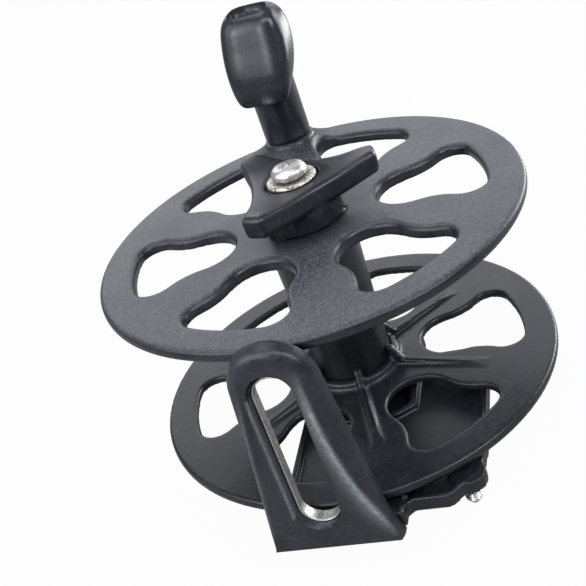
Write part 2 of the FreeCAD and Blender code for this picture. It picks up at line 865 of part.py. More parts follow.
def window_wire():
    """One window, symmetric about the middle line at the window's angle."""
    lobe = z.window_lobe_radius.value
    lobe_x = z.window_lobe_centre.value
    corner = z.window_corner_radius.value
    corner_y = z.window_corner_side.value
    outer = z.window_outer_radius.value
    corner_x = math.sqrt((outer - corner) ** 2 - corner_y ** 2)
    # The waist arc leaves the lobe at its widest point and touches the corner
    # arc from outside, so its radius follows from the other two.
    across = corner_x - lobe_x
    drop = corner_y - lobe
    waist = (across ** 2 + drop ** 2 - corner ** 2) / (2 * (corner + drop))
    widest = Vector(lobe_x, lobe, 0)
    heart = Vector(lobe_x, lobe + waist, 0)
    hub = Vector(corner_x, corner_y, 0)
    touch = heart + (hub - heart) * (waist / (waist + corner))
    waist_crown = heart + ((widest + touch) * 0.5 - heart).normalize() * waist
    radial = Vector(corner_x, corner_y, 0).normalize()
    shoulder = hub + radial * corner
    corner_crown = hub + ((touch - hub).normalize() + radial).normalize() * corner
    side = [(widest, waist_crown, touch), (touch, corner_crown, shoulder)]

    def below(point):
        return Vector(point.x, -point.y, 0)

    arcs = [(below(widest), Vector(lobe_x - lobe, 0, 0), widest)]
    arcs += side
    arcs.append((shoulder, Vector(outer, 0, 0), below(shoulder)))
    arcs += [(below(end), below(crown), below(start)) for start, crown, end in reversed(side)]
    spin = Rotation(Vector(0, 0, 1), z.window_angle.value)
    return [Part.Arc(*[spin.multVec(point) for point in arc]) for arc in arcs]


def window_rim(feature, level):
    """The edges of the windows in one flat face of a flange."""
    names = []
    for number, edge in enumerate(feature.Shape.Edges, start=1):
        box = edge.BoundBox
        flat = abs(box.ZMin - level) < 1e-4 and abs(box.ZMax - level) < 1e-4
        inner = math.hypot(box.Center.x, box.Center.y) > z.collar_radius.value + 1
        whole = edge.isClosed()
        outside = math.hypot(*edge.Vertexes[0].Point[:2]) > z.window_outer_radius.value + 1
        if flat and inner and not whole and not outside:
            names.append("Edge%d" % number)
    return names


def ease_windows(body, level, amount):
    """A chamfer round every window in one face of a flange."""
    doc.recompute()
    carrier = body.Tip
    feature = body.newObject("PartDesign::Chamfer", body.Name + "_window_edge")
    feature.Base = (carrier, window_rim(carrier, level))
    feature.Size = Size.of(amount).value
    bind(feature, "Size", amount)
    body.Tip = feature


def screw_holes(body, name, level, depth, reverse):
    """Three screw holes about the axis, cut from one level."""
    sketch = new_sketch(body, name, lift=level)
    draw_circle(sketch, (z.flange_screw_circle, 0), z.flange_screw_radius)
    hole = cut_to(body, sketch, depth, reverse=reverse)
    polar(body, hole, 3)


upper = new_body("upper_flange_blank")
sketch = new_sketch(upper, "upper_section", "XZ_Plane")
rim = z.upper_flange_radius
edge = z.rim_edge
thick = z.upper_flange_thickness
draw_polygon(sketch, [
    (bush_outer, -z.upper_hub_depth),
    (z.upper_hub_radius, -z.upper_hub_depth),
    (z.upper_hub_radius + 0.6, -z.upper_hub_depth + 0.9),
    (z.upper_hub_root, -z.upper_hub_root_drop),
    (rim - edge * 3, 0),
    (rim - edge * 0.8, 0),
    (rim - edge * 0.25, edge * 0.35),
    (rim, edge),
    (rim, thick - edge),
    (rim - edge * 0.3, thick - edge * 0.3),
    (rim - edge, thick),
    (bush_outer, thick),
])
revolve(upper, sketch)
sketch = new_sketch(upper, "upper_window")
draw_wire(sketch, window_wire())
polar(upper, cut_through(upper, sketch), 6)
screw_holes(upper, "upper_screw_hole", thick, thick + z.upper_hub_depth, False)
ease_windows(upper, thick.value, z.upper_window_edge)
bind_place(upper, level=upper_face)

handle_boss = cone("handle_boss", z.handle_boss_foot, z.handle_boss_head,
                   z.handle_boss_height + 1, handle_x, handle_y, spool_top - 1)
head_depth = z.handle_bolt_head + 0.1
handle_voids = joined("handle_voids", [
    cylinder("handle_bolt_way", z.handle_bolt_radius,
             z.upper_flange_thickness + z.handle_boss_height + 2,
             handle_x, handle_y, upper_face - 1),
    hexagon("handle_head_seat", z.handle_bolt_flats + 0.1, head_depth + 1,
            handle_x, handle_y, upper_face - 1),
])
sinks = []
for index in range(3):
    spot_x, spot_y = turned(z.flange_screw_circle, Size.of(120 * index))
    sinks.append(cone("upper_sink_%d" % index, z.flange_screw_radius,
                      z.flange_screw_head_radius + 0.1,
                      z.flange_screw_head_radius - z.flange_screw_radius + 0.1,
                      spot_x, spot_y,
                      spool_top - (z.flange_screw_head_radius - z.flange_screw_radius + 0.1)))
upper_whole = joined("upper_flange_bossed", [upper, handle_boss])
cut("top_flange", upper_whole, joined("upper_voids", [handle_voids] + sinks))

lower = new_body("lower_flange_blank")
sketch = new_sketch(lower, "lower_section", "XZ_Plane")
rim = z.lower_flange_radius
drop = z.lower_hub_drop
thick = drop + z.lower_flange_thickness
bead = z.lower_flange_bead
socket = z.drum_foot_radius + z.drum_socket_fit
draw_polygon(sketch, [
    (bush_outer, 0),
    (z.lower_hub_radius, 0),
    (z.lower_hub_radius + drop, drop),
    (rim - z.lower_flange_bead_width - bead, drop),
    (rim - z.lower_flange_bead_width, drop - bead),
    (rim - edge * 0.7, drop - bead),
    (rim, drop - bead + edge * 0.7),
    (rim, thick - edge * 0.5),
    (rim - edge * 0.5, thick),
    (z.collar_radius + 0.8, thick),
    (z.collar_radius, thick + 0.8),
    (z.collar_radius - 0.3, thick + z.collar_height - 0.5),
    (z.collar_radius - 0.8, thick + z.collar_height),
    (socket, thick + z.collar_height),
    (socket, thick),
    (bush_outer, thick),
])
revolve(lower, sketch)
sketch = new_sketch(lower, "lower_window")
draw_wire(sketch, window_wire())
polar(lower, cut_through(lower, sketch), 6)
ease_windows(lower, thick.value, z.lower_window_edge)
sketch = new_sketch(lower, "rib_side", "XZ_Plane", spin=z.window_angle + 30 + z.rib_turn)
rib_foot = thick - 0.5
draw_polygon(sketch, [
    (z.collar_radius - 1.2, rib_foot),
    (z.rib_reach, rib_foot),
    (z.rib_reach, thick + z.rib_tip_height),
    (z.gusset_reach, thick + z.rib_root_height),
    (z.collar_radius - 0.6, thick + z.gusset_height),
    (socket, thick + z.gusset_height),
    (socket, thick + z.collar_height - 0.5),
    (z.collar_radius - 1.2, thick + z.collar_height - 0.5),
])
rib = pad(lower, sketch, z.rib_width, middle=True)
polar(lower, rib, 6)
screw_holes(lower, "lower_screw_hole", 0, thick, True)
bind_place(lower, level=spool_foot)
sinks = []
for index in range(3):
    spot_x, spot_y = turned(z.flange_screw_circle, Size.of(120 * index))
    sinks.append(cone("lower_sink_%d" % index, z.flange_screw_head_radius + 0.1,
                      z.flange_screw_radius,
                      z.flange_screw_head_radius - z.flange_screw_radius + 0.1,
                      spot_x, spot_y, spool_foot))
cut("bottom_flange", lower, joined("lower_sinks", sinks))

# --------------------------------------------------------- drum and bushes

drum = new_body("drum")
sketch = new_sketch(drum, "drum_section", "XZ_Plane")
tall = drum_head - lower_face
upper_seat = z.bush_length - z.upper_flange_thickness - z.upper_hub_depth
lower_seat = z.bush_length - (lower_face - spool_foot)
draw_polygon(sketch, [
    (bush_outer, 0),
    (z.drum_foot_radius, 0),
    (z.drum_foot_radius, z.gusset_height),
    (z.drum_head_radius, tall - 3),
    (z.drum_head_radius, tall),
    (bush_outer, tall),
    (bush_outer, tall - upper_seat),
    (z.drum_bore_radius, tall - upper_seat),
    (z.drum_bore_radius, lower_seat),
    (bush_outer, lower_seat),
])
revolve(drum, sketch)
screw_depth = z.flange_screw_length - z.upper_flange_thickness - z.upper_hub_depth + 1
screw_holes(drum, "drum_upper_hole", tall, screw_depth, False)
screw_depth = z.flange_screw_length - (lower_face - spool_foot) + 1
screw_holes(drum, "drum_lower_hole", 0, screw_depth, True)
bind_place(drum, level=lower_face)

bush_bore = z.spindle_radius + z.fit_running
ring("upper_bush", bush_outer, bush_bore, z.bush_length, spool_top - z.bush_length)
ring("lower_bush", bush_outer, bush_bore, z.bush_length, spool_foot)

sink = z.flange_screw_head_radius - z.flange_screw_radius
shank_length = z.flange_screw_length - sink
upper_screws = []
lower_screws = []
for index in range(3):
    spot_x, spot_y = turned(z.flange_screw_circle, Size.of(120 * index))
    head_top = spool_top - z.flange_screw_sink
    upper_screws.append(cone("upper_screw_head_%d" % index, z.flange_screw_radius,
                             z.flange_screw_head_radius, sink, spot_x, spot_y,
                             head_top - sink))
    upper_screws.append(cylinder("upper_screw_shank_%d" % index, z.flange_screw_radius,
                                 shank_length, spot_x, spot_y,
                                 head_top - z.flange_screw_length))
    head_low = spool_foot + z.flange_screw_sink
    lower_screws.append(cone("lower_screw_head_%d" % index, z.flange_screw_head_radius,
                             z.flange_screw_radius, sink, spot_x, spot_y, head_low))
    lower_screws.append(cylinder("lower_screw_shank_%d" % index, z.flange_screw_radius,
                                 shank_length, spot_x, spot_y, head_low + sink))
joined("flange_screws_upper", upper_screws)
joined("flange_screws_lower", lower_screws)

# ---------------------------------------------------------- drag and knob

ring("drag_washer", z.drag_washer_radius, z.spindle_radius + z.fit_slide,
     z.drag_washer_height, spool_top)

# The pressure washer slides on the spindle's flats and never turns.
plate = cylinder("pressure_plate", z.pressure_washer_radius,
                 z.pressure_washer_height, level=pressure_foot)
eye = cylinder("pressure_eye", z.thread_radius + z.fit_slide,
               z.pressure_washer_height + 2, level=pressure_foot - 1)
flats = doc.addObject("Part::Box", "pressure_flats")
bind(flats, "Length", (z.thread_flat + z.fit_slide) * 2)
bind(flats, "Width", z.spindle_radius * 4)
bind(flats, "Height", z.pressure_washer_height + 2)
bind_place(flats, -(z.thread_flat + z.fit_slide), -z.spindle_radius * 2, pressure_foot - 1)
keyhole = doc.addObject("Part::MultiCommon", "pressure_keyhole")
keyhole.Shapes = [eye, flats]
cut("pressure_washer", plate, keyhole)

# Star knob: one turned blank, dished so that its tips curve up, with the
# space between the three lobes cut away.
knob = new_body("star_knob")
sketch = new_sketch(knob, "knob_section", "XZ_Plane")
insert_hole = z.insert_radius
centre = z.knob_centre_height
tip = z.knob_tip_radius
lift = z.knob_tip_lift
under = centre + lift - z.knob_tip_thickness
seat_floor = centre - z.knob_seat_depth
draw_polygon(sketch, [
    (insert_hole, 0),
    (z.knob_hub_radius, 0),
    (z.knob_hub_radius, z.knob_hub_height),
    (z.knob_hub_radius + 3.2, z.knob_hub_height + 0.2),
    ((z.knob_hub_radius + tip) / 2 + 1.6, (z.knob_hub_height + under) / 2 - 0.7),
    (tip - 3.0, under - 0.6),
    (tip + 1, under + 0.8),
    (tip + 1, centre + lift),
    (tip - 2.5, centre + lift - 0.4),
    (tip - 6.5, centre + lift * 0.42),
    (tip - 10.5, centre + lift * 0.1),
    (z.knob_dish_radius, centre),
    (z.knob_seat_radius, centre),
    (z.knob_seat_radius, seat_floor),
    (z.thread_radius + z.fit_running + 0.6, seat_floor),
    (z.thread_radius + z.fit_running + 0.6, z.insert_height),
    (insert_hole, z.insert_height),
])
revolve(knob, sketch)


def star_wire():
    """Three round-ended lobes joined by hollow flanks, one lobe along +X."""
    tip_half = z.knob_tip_half_width.value
    spread = z.knob_tip_radius.value - tip_half
    waist = z.knob_waist_radius.value
    # The flank's centre lies midway between two lobes; its arc touches both
    # tip arcs from outside and passes the waist.
    far = (spread ** 2 - (tip_half - waist) ** 2) / (spread + 2 * (tip_half - waist))
    flank = far - waist
    curves = []
    for index in range(3):
        along = Rotation(Vector(0, 0, 1), 120 * index)
        between = Rotation(Vector(0, 0, 1), 120 * index + 60)
        later = Rotation(Vector(0, 0, 1), 120 * index + 120)
        heart = along.multVec(Vector(spread, 0, 0))
        following = later.multVec(Vector(spread, 0, 0))
        hollow = between.multVec(Vector(far, 0, 0))
        before = Rotation(Vector(0, 0, 1), 120 * index - 60).multVec(Vector(far, 0, 0))
        start = heart + (before - heart).normalize() * tip_half
        end = heart + (hollow - heart).normalize() * tip_half
        crown = along.multVec(Vector(spread + tip_half, 0, 0))
        curves.append(Part.Arc(start, crown, end))
        landing = following + (hollow - following).normalize() * tip_half
        middle = between.multVec(Vector(waist, 0, 0))
        curves.append(Part.Arc(end, middle, landing))
    return curves


sketch = new_sketch(knob, "knob_outline")
draw_circle(sketch, (0, 0), z.knob_tip_radius + 8)
draw_wire(sketch, star_wire())
cut_through(knob, sketch)
bind_place(knob, level=knob_foot, spin=z.knob_angle)

ring("knob_insert", z.insert_radius, z.thread_radius + z.fit_running,
     z.insert_height, knob_foot)

# ----------------------------------------------------------- crank handle

bolt_low = upper_face + 0.1
grip_top = z.stem_length + z.grip_height
recess_floor = grip_top - z.grip_recess_depth
nut_foot = grip_foot + recess_floor + z.gap_running + z.handle_washer_height
bolt_top = nut_foot + z.handle_nut_height + z.handle_bolt_end
joined("handle_bolt", [
    hexagon("handle_bolt_hexagon", z.handle_bolt_flats, z.handle_bolt_head,
            handle_x, handle_y, bolt_low),
    cylinder("handle_bolt_shank", z.handle_bolt_radius, bolt_top - bolt_low,
             handle_x, handle_y, bolt_low),
])
nut = hexagon("handle_nut_blank", z.handle_bolt_flats, z.handle_nut_height,
              handle_x, handle_y, nut_foot)
cut("handle_nut", nut, cylinder("handle_nut_hole", z.handle_bolt_radius,
                                z.handle_nut_height + 2, handle_x, handle_y, nut_foot - 1))
washer_foot = nut_foot - z.handle_washer_height
washer = cylinder("grip_washer_blank", z.handle_washer_radius,
                  z.handle_washer_height, handle_x, handle_y, washer_foot)
cut("grip_washer", washer, cylinder("grip_washer_hole", z.handle_bolt_radius,
                                    z.handle_washer_height + 2, handle_x, handle_y,
                                    washer_foot - 1))

# The grip is an arched block on a round stem, moulded in one. From the side
# it leans: full towards the front at its foot, and back over the stem above.
grip_bore = z.handle_bolt_radius + z.fit_running + z.grip_bush_wall


def grip_spot(across, level):
    """A point of the grip's outlines, measured up from the block's foot."""
    return Vector(across.value, (z.stem_length + level).value, 0)


def mirrored(point):
    return Vector(-point.x, point.y, 0)


nothing = Size.of(0)
toe = grip_spot(z.grip_foot_half, nothing)
cheek = grip_spot(z.grip_cheek_half, z.grip_cheek_level)
jaw = grip_spot((z.grip_foot_half + z.grip_cheek_half) / 2 + 1.0,
                z.grip_cheek_level * 0.31)
flank = grip_spot(z.grip_side_half, z.grip_side_level)
shoulder = grip_spot(z.grip_shoulder_half, z.grip_shoulder_level)
summit = grip_spot(nothing, z.grip_height)

grip = new_body("grip_moulding")
sketch = new_sketch(grip, "grip_front", "XZ_Plane")
draw_wire(sketch, [
    Part.LineSegment(mirrored(toe), toe),
    Part.Arc(toe, jaw, cheek),
    Part.Arc(cheek, flank, shoulder),
    Part.Arc(shoulder, summit, mirrored(shoulder)),
    Part.Arc(mirrored(shoulder), mirrored(flank), mirrored(cheek)),
    Part.Arc(mirrored(cheek), mirrored(jaw), mirrored(toe)),
])
pad(grip, sketch, z.grip_near_belly * 3, middle=True)

over = z.grip_height + 0.5
near_foot = grip_spot(-z.grip_near_foot, nothing)
near_belly = grip_spot(-z.grip_near_belly, z.grip_near_belly_level)
near_top = grip_spot(-z.grip_near_top, over)
far_top = grip_spot(z.grip_far_top, over)
far_belly = grip_spot(z.grip_far_belly, z.grip_far_belly_level)
far_middle = grip_spot(z.grip_far_middle, z.grip_far_middle_level)
heel = grip_spot(-z.grip_heel, nothing)
side = [
    Part.Arc(near_top, near_belly, near_foot),
    Part.LineSegment(near_foot, heel),
    Part.Arc(heel, far_middle, far_belly),
    Part.LineSegment(far_belly, far_top),
    Part.LineSegment(far_top, near_top),
]
margin = 30
low = z.stem_length.value - margin
high = grip_top.value + margin
frame = [Vector(-margin, low, 0), Vector(margin, low, 0),
         Vector(margin, high, 0), Vector(-margin, high, 0)]
sketch = new_sketch(grip, "grip_side", "YZ_Plane")
draw_wire(sketch, [Part.LineSegment(frame[i], frame[(i + 1) % 4]) for i in range(4)])
draw_wire(sketch, side)
cut_through(grip, sketch)

sketch = new_sketch(grip, "grip_stem")
draw_circle(sketch, (0, 0), z.stem_radius)
pad(grip, sketch, z.stem_length + z.grip_stem_bury)
sketch = new_sketch(grip, "grip_bore")
draw_circle(sketch, (0, 0), grip_bore)
cut_through(grip, sketch)
sketch = new_sketch(grip, "grip_recess", lift=recess_floor)
draw_circle(sketch, (0, 0), z.grip_recess_radius)
cut_to(grip, sketch, z.grip_recess_depth + 3, reverse=True)
doc.recompute()
grip.Label = "grip"
bind_place(grip, handle_x, handle_y, grip_foot, spin=z.grip_turn)

sleeve_length = recess_floor
sleeve = cylinder("grip_bush_blank", grip_bore, sleeve_length, handle_x, handle_y, grip_foot)
cut("grip_bush", sleeve, cylinder("grip_bush_hole", z.handle_bolt_radius + z.fit_running,
                                  sleeve_length + 2, handle_x, handle_y, grip_foot - 1))

# ------------------------------------------------------- check and export

NODES = [
    "base_frame", "line_guide", "guide_liner", "guide_screws", "spindle",
    "thrust_washer", "mount_studs", "knob_washer", "lock_washer", "knob_screw",
    "top_flange", "bottom_flange", "drum", "flange_screws_upper",
    "flange_screws_lower", "upper_bush", "lower_bush", "drag_washer",
    "handle_bolt", "handle_nut", "grip_washer", "pressure_washer",
    "star_knob", "knob_insert", "grip", "grip_bush",
]

doc.recompute()
for item in doc.Objects:
    if "Invalid" in item.State or "Error" in item.State:
        raise RuntimeError("%s failed: %s" % (item.Label, item.State))
pieces = {}
for node in NODES:
    found = doc.getObjectsByLabel(node)
    if len(found) != 1:
        raise RuntimeError("%s: %d objects" % (node, len(found)))
    shape = found[0].Shape
    if shape.isNull() or not shape.isValid() or not shape.Solids:
        raise RuntimeError("%s has no sound solid" % node)
    pieces[node] = shape

os.makedirs("parts", exist_ok=True)
for node, shape in pieces.items():
    shape.exportStep(os.path.join("parts", node + ".step"))
    print("%-22s %d solid(s) %9.1f mm3" % (node, len(shape.Solids), shape.Volume))
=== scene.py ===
# %% [markdown]
# Hand line reel: a small reel of moulded black nylon, with a wide spool that
# turns on an upright spindle, a crank grip, a drag knob and a line guide.
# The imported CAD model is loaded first. It fixes every size and place, and the
# cells after it give each piece its finish or a finer form.

import bpy
import bmesh
import json
import math
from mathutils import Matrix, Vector

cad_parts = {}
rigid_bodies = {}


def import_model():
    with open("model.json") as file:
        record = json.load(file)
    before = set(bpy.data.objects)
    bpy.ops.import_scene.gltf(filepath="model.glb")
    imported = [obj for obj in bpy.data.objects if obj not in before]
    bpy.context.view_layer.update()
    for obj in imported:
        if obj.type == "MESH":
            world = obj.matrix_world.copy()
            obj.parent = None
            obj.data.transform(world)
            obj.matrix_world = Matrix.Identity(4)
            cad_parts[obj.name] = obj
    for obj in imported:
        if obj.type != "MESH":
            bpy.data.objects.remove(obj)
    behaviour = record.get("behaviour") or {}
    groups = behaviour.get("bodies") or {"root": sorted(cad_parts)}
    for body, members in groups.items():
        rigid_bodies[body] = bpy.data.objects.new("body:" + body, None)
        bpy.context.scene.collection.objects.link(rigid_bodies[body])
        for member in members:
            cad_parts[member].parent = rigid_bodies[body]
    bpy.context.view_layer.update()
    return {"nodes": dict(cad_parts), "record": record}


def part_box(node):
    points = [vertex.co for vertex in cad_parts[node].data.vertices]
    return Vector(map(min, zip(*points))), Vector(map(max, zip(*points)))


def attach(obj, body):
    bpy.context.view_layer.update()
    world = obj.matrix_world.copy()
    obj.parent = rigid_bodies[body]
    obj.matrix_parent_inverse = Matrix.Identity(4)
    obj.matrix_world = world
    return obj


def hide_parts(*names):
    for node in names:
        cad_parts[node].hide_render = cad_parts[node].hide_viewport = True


bpy.ops.object.select_all(action="SELECT")
bpy.ops.object.delete()
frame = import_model()

# %% [markdown]
# A finish is a network of shader nodes. Long networks are easier to read as
# sums, so a small class wraps one socket and gives it the usual operators.
# An expression such as 1 - mask * 0.5 then adds its own Math nodes.


# %% A wire with arithmetic
class Wire:
    """One output of a node, with arithmetic."""

    def __init__(self, network, socket):
        self.network = network
        self.socket = socket

    def maths(self, operation, *values):
        return self.network.node(
            "ShaderNodeMath", {"operation": operation}, dict(enumerate(values))
        )

    def __add__(self, other):
        return self.maths("ADD", self, other)

    __radd__ = __add__

    def __sub__(self, other):
        return self.maths("SUBTRACT", self, other)

    def __rsub__(self, other):
        return self.maths("SUBTRACT", other, self)

    def __mul__(self, other):
        return self.maths("MULTIPLY", self, other)

    __rmul__ = __mul__

    def above(self, low, high):
        """0 under low, 1 over high, and smooth in between."""
        return self.network.node(
            "ShaderNodeMapRange",
            {"interpolation_type": "SMOOTHSTEP"},
            {"Value": self, "From Min": low, "From Max": high},
        )


print("A wire adds, takes away and multiplies")

# %% [markdown]
# A finish has dozens of nodes, and each takes several lines to make. One method
# makes them all, from a type, the settings and then the sockets, because some
# settings change the sockets.


# %% A network of nodes
class Network:
    """A tree of nodes, and the one method that adds to it."""

    def __init__(self, tree):
        self.tree = tree

    def node(self, kind, settings, sockets, output=0):
        made = self.tree.nodes.new(kind)
        for setting, value in settings.items():
            setattr(made, setting, value)
        for socket, value in sockets.items():
            if isinstance(value, Wire):
                self.tree.links.new(value.socket, made.inputs[socket])
            else:
                made.inputs[socket].default_value = value
        return Wire(self, made.outputs[output])


class Finish(Network):
    """A material whose main shader takes its inputs from expressions."""

    def __init__(self, name, **constants):
        self.material = bpy.data.materials.new(name)
        self.material.use_nodes = True
        super().__init__(self.material.node_tree)
        self.shader = self.tree.nodes["Principled BSDF"]
        for socket, value in constants.items():
            self.shader.inputs[socket.replace("_", " ")].default_value = value
        self.place = self.node("ShaderNodeTexCoord", {}, {}, "Object")

    def noise(self, scale, detail=3.0, roughness=0.5, place=None):
        sockets = {"Scale": scale, "Detail": detail, "Roughness": roughness}
        sockets["Vector"] = place or self.place
        return self.node("ShaderNodeTexNoise", {}, sockets)

    def stretched(self, x, y, z):
        """The place, scaled along each axis, for a pattern with a grain."""
        sockets = {"Vector": self.place, "Scale": (x, y, z)}
        return self.node("ShaderNodeMapping", {}, sockets)

    def blend(self, factor, first, second):
        """A mix of two colours. A Mix node keeps its colour sockets at 6 and 7."""
        sockets = {0: factor, 6: first, 7: second}
        return self.node("ShaderNodeMix", {"data_type": "RGBA"}, sockets, output=2)

    def bump(self, height, strength, distance):
        sockets = {"Height": height, "Strength": strength, "Distance": distance}
        return self.node("ShaderNodeBump", {}, sockets)

    def feed(self, **inputs):
        for socket, wire in inputs.items():
            self.tree.links.new(
                wire.socket, self.shader.inputs[socket.replace("_", " ")]
            )
        print(self.material.name, "has", len(self.tree.nodes), "nodes")
        return self.material


print("A finish is fed by the names of its sockets")

# %% [markdown]
# The main mouldings are black glass-filled nylon. It is not a pure black:
# the glass fibres give it a blue-grey cast, and the melt leaves a soft cloudy
# pattern and a very fine pebbled skin. Colour, roughness and bump each get
# their own noise, at the size of the real marks. Where a piece is worn, or where
# light or a highlight is painted on it, its mesh holds an attribute that says
# how much, point by point.


# %% Moulded nylon
def moulded_nylon(
    name, dark, light, roughness, grain_depth,
    mark=None, mark_colour=None, even=0.35, dusty=0.35,
):
    """Black nylon. A mark, a mesh attribute, says where it is worn or painted light."""
    nylon = Finish(name)
    clouds = nylon.noise(60.0, 5.0, 0.62)
    flecks = nylon.noise(950.0, 3.0, 0.65)
    mottle = (clouds * 0.6 + flecks * 0.4).above(0.38, 0.66)
    colour = nylon.blend(mottle, (*dark, 1), (*light, 1))
    rough = roughness + (clouds - 0.5) * 0.3 + (flecks - 0.5) * 0.2
    dust = nylon.noise(2300.0, 2.0, 0.7).above(0.60, 0.74) * clouds.above(0.48, 0.60)
    colour = nylon.blend(dust * dusty, colour, (0.16, 0.165, 0.18, 1))
    if mark:
        marked = nylon.node("ShaderNodeAttribute", {"attribute_name": mark}, {}, "Fac")
        specks = nylon.noise(1100.0, 3.0, 0.7).above(0.38, 0.68)
        wear_and_painted_light = marked * (even + specks * (1 - even))
        colour = nylon.blend(wear_and_painted_light, colour, (*mark_colour, 1))
        rough = rough + wear_and_painted_light * 0.12
    grain = nylon.noise(1500.0, 2.0, 0.6)
    dimples = nylon.noise(520.0, 3.0, 0.55)
    return nylon.feed(
        Base_Color=colour,
        Roughness=rough,
        Normal=nylon.bump(grain * 0.7 + dimples * 0.8, 0.6, grain_depth),
    )


# This plain copy is darker than the lighter one for the upper flange: painted shade on
# the lower flange and the tray under it.
nylon_black = moulded_nylon(
    "nylon_black", (0.008, 0.0086, 0.011), (0.018, 0.019, 0.024), 0.32, 0.00005
)
# A lighter copy of the same nylon, for the upper flange and the knob. Light is painted
# on where their faces look up.
nylon_painted_light = moulded_nylon(
    "nylon_painted_light", (0.009, 0.0097, 0.0125), (0.026, 0.0275, 0.035), 0.33, 0.00006,
    "faded", (0.098, 0.100, 0.108), 0.3,
)
# The guide's copy: its crest is rubbed, with a highlight painted along it.
nylon_grained = moulded_nylon(
    "nylon_grained", (0.010, 0.0107, 0.0135), (0.030, 0.0315, 0.039), 0.34, 0.00014,
    "wear_and_painted_highlight", (0.35, 0.37, 0.36), 0.55,
)
nylon_grip = moulded_nylon(
    "nylon_grip", (0.016, 0.017, 0.023), (0.024, 0.0255, 0.034), 0.24, 0.00001,
    "wear_and_painted_highlight", (0.42, 0.44, 0.43), dusty=0.06,
)

# %% [markdown]
# The screws and the washer are stainless steel that has been handled: a warm
# grey with fine turning marks, and a brown film in patches. The film is a second
# colour, mixed in by a noise, and it is rougher than the clean steel.


# %% Steel and brass
def metal(name, clean, film, roughness, amount):
    steel = Finish(name, Metallic=1.0)
    marks = steel.noise(1.0, 3.0, 0.6, steel.stretched(700, 700, 2600))
    dents = steel.noise(620.0, 3.0, 0.6)
    grey = steel.noise(900.0, 4.0, 0.7).above(0.42, 0.66)
    stain = steel.noise(1300.0, 3.0, 0.7).above(0.50, 0.60) * amount
    colour = steel.blend(grey * 0.55, (*clean, 1), (0.40, 0.39, 0.38, 1))
    return steel.feed(
        Base_Color=steel.blend(stain, colour, (*film, 1)),
        Roughness=roughness + stain * 0.3 + (grey - 0.5) * 0.2,
        Normal=steel.bump(marks * 0.5 + dents, 0.8, 0.00012),
    )


stainless = metal("stainless", (0.92, 0.90, 0.88), (0.24, 0.17, 0.13), 0.36, 0.35)
liner_steel = metal("liner_steel", (0.62, 0.61, 0.57), (0.26, 0.24, 0.21), 0.44, 0.6)
steel_mottled = metal(
    "steel_mottled", (0.86, 0.81, 0.73), (0.10, 0.065, 0.045), 0.5, 0.9
)
steel_brown = metal("steel_brown", (0.30, 0.21, 0.16), (0.06, 0.03, 0.02), 0.5, 0.9)
brass = metal("brass", (0.60, 0.42, 0.18), (0.22, 0.14, 0.06), 0.3, 0.3)

# %% [markdown]
# Three finishes are plainer: the pale acetal of the bushes, the pressed fibre
# of the drag washer and the soft black of the plug. Each is one cloud between
# two near colours, with a fine bump.


# %% Acetal, drag fibre and soft black
def plain_moulding(name, first, second, scale, roughness):
    piece = Finish(name)
    cloud = piece.noise(scale, 3.0, 0.6)
    return piece.feed(
        Base_Color=piece.blend(cloud, (*first, 1), (*second, 1)),
        Roughness=roughness + (cloud - 0.5) * 0.2,
        Normal=piece.bump(piece.noise(scale * 12, 2.0), 0.25, 0.00008),
    )


acetal = plain_moulding("acetal", (0.66, 0.65, 0.61), (0.74, 0.73, 0.70), 140.0, 0.4)
drag_fibre = plain_moulding(
    "drag_fibre", (0.022, 0.02, 0.018), (0.05, 0.045, 0.04), 900.0, 0.8
)
soft_black = plain_moulding(
    "soft_black", (0.006, 0.006, 0.007), (0.012, 0.012, 0.014), 300.0, 0.75
)

# %% [markdown]
# The screws, bushes and washers inside the reel keep their CAD shapes, which
# are right as they are. Each node's material is named after what it is made of,
# so the finish can be handed out by that name.

# %% Give every CAD node its finish
by_slot = {
    "black_nylon": nylon_black,
    "stainless": stainless,
    "brass": brass,
    "acetal": acetal,
    "drag_fibre": drag_fibre,
}
for name, node in frame["nodes"].items():
    slot = node.data.materials[0].name.split(".")[0]
    node.data.materials[0] = by_slot[slot]
    print(name, "takes", slot)


# %% [markdown]
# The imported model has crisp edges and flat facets, and a moulding has neither:
# the tool's corners are rounded, so every edge catches a thin line of light.
# A merged copy of a node has shared corners, and can be worked on like any
# mesh. It rides on the node's body and stands for it.

# %% Merged copy
body_of = {
    node: body
    for body, nodes in frame["record"]["behaviour"]["bodies"].items()
    for node in nodes
}
same_place = 0.000002


def selected(*pieces):
    """Selects these pieces alone, and makes the first one active."""
    bpy.ops.object.select_all(action="DESELECT")
    for piece in pieces:
        piece.select_set(True)
    bpy.context.view_layer.objects.active = pieces[0]


def merged_copy(node_name, piece_name):
    selected(frame["nodes"][node_name])
    bpy.ops.object.duplicate()
    piece = bpy.context.active_object
    piece.name = piece.data.name = piece_name
    piece.parent = None
    bpy.ops.object.mode_set(mode="EDIT")
    bpy.ops.mesh.select_all(action="SELECT")
    bpy.ops.mesh.remove_doubles(threshold=same_place)
    bpy.ops.mesh.dissolve_limited(angle_limit=math.radians(0.5))
    bpy.ops.object.mode_set(mode="OBJECT")
    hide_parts(node_name)
    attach(piece, body_of[node_name])
    return piece


print(len(body_of), "nodes know their bodies")

# %% [markdown]
# The Bevel modifier would round the edges one by one, but it can fail where
# several meet. A voxel remesh covers the whole moulding with small even faces
# instead, and the Smooth modifier softens the edges.


# %% Flanges, tray and drum
def with_modifier(piece, kind, **settings):
    bpy.context.view_layer.objects.active = piece
    modifier = piece.modifiers.new(kind.lower(), kind)
    for setting, value in settings.items():
        setattr(modifier, setting, value)
    bpy.ops.object.modifier_apply(modifier=modifier.name)


def smooth_shaded(piece, degrees):
    selected(piece)
    bpy.ops.object.shade_smooth_by_angle(angle=math.radians(degrees))


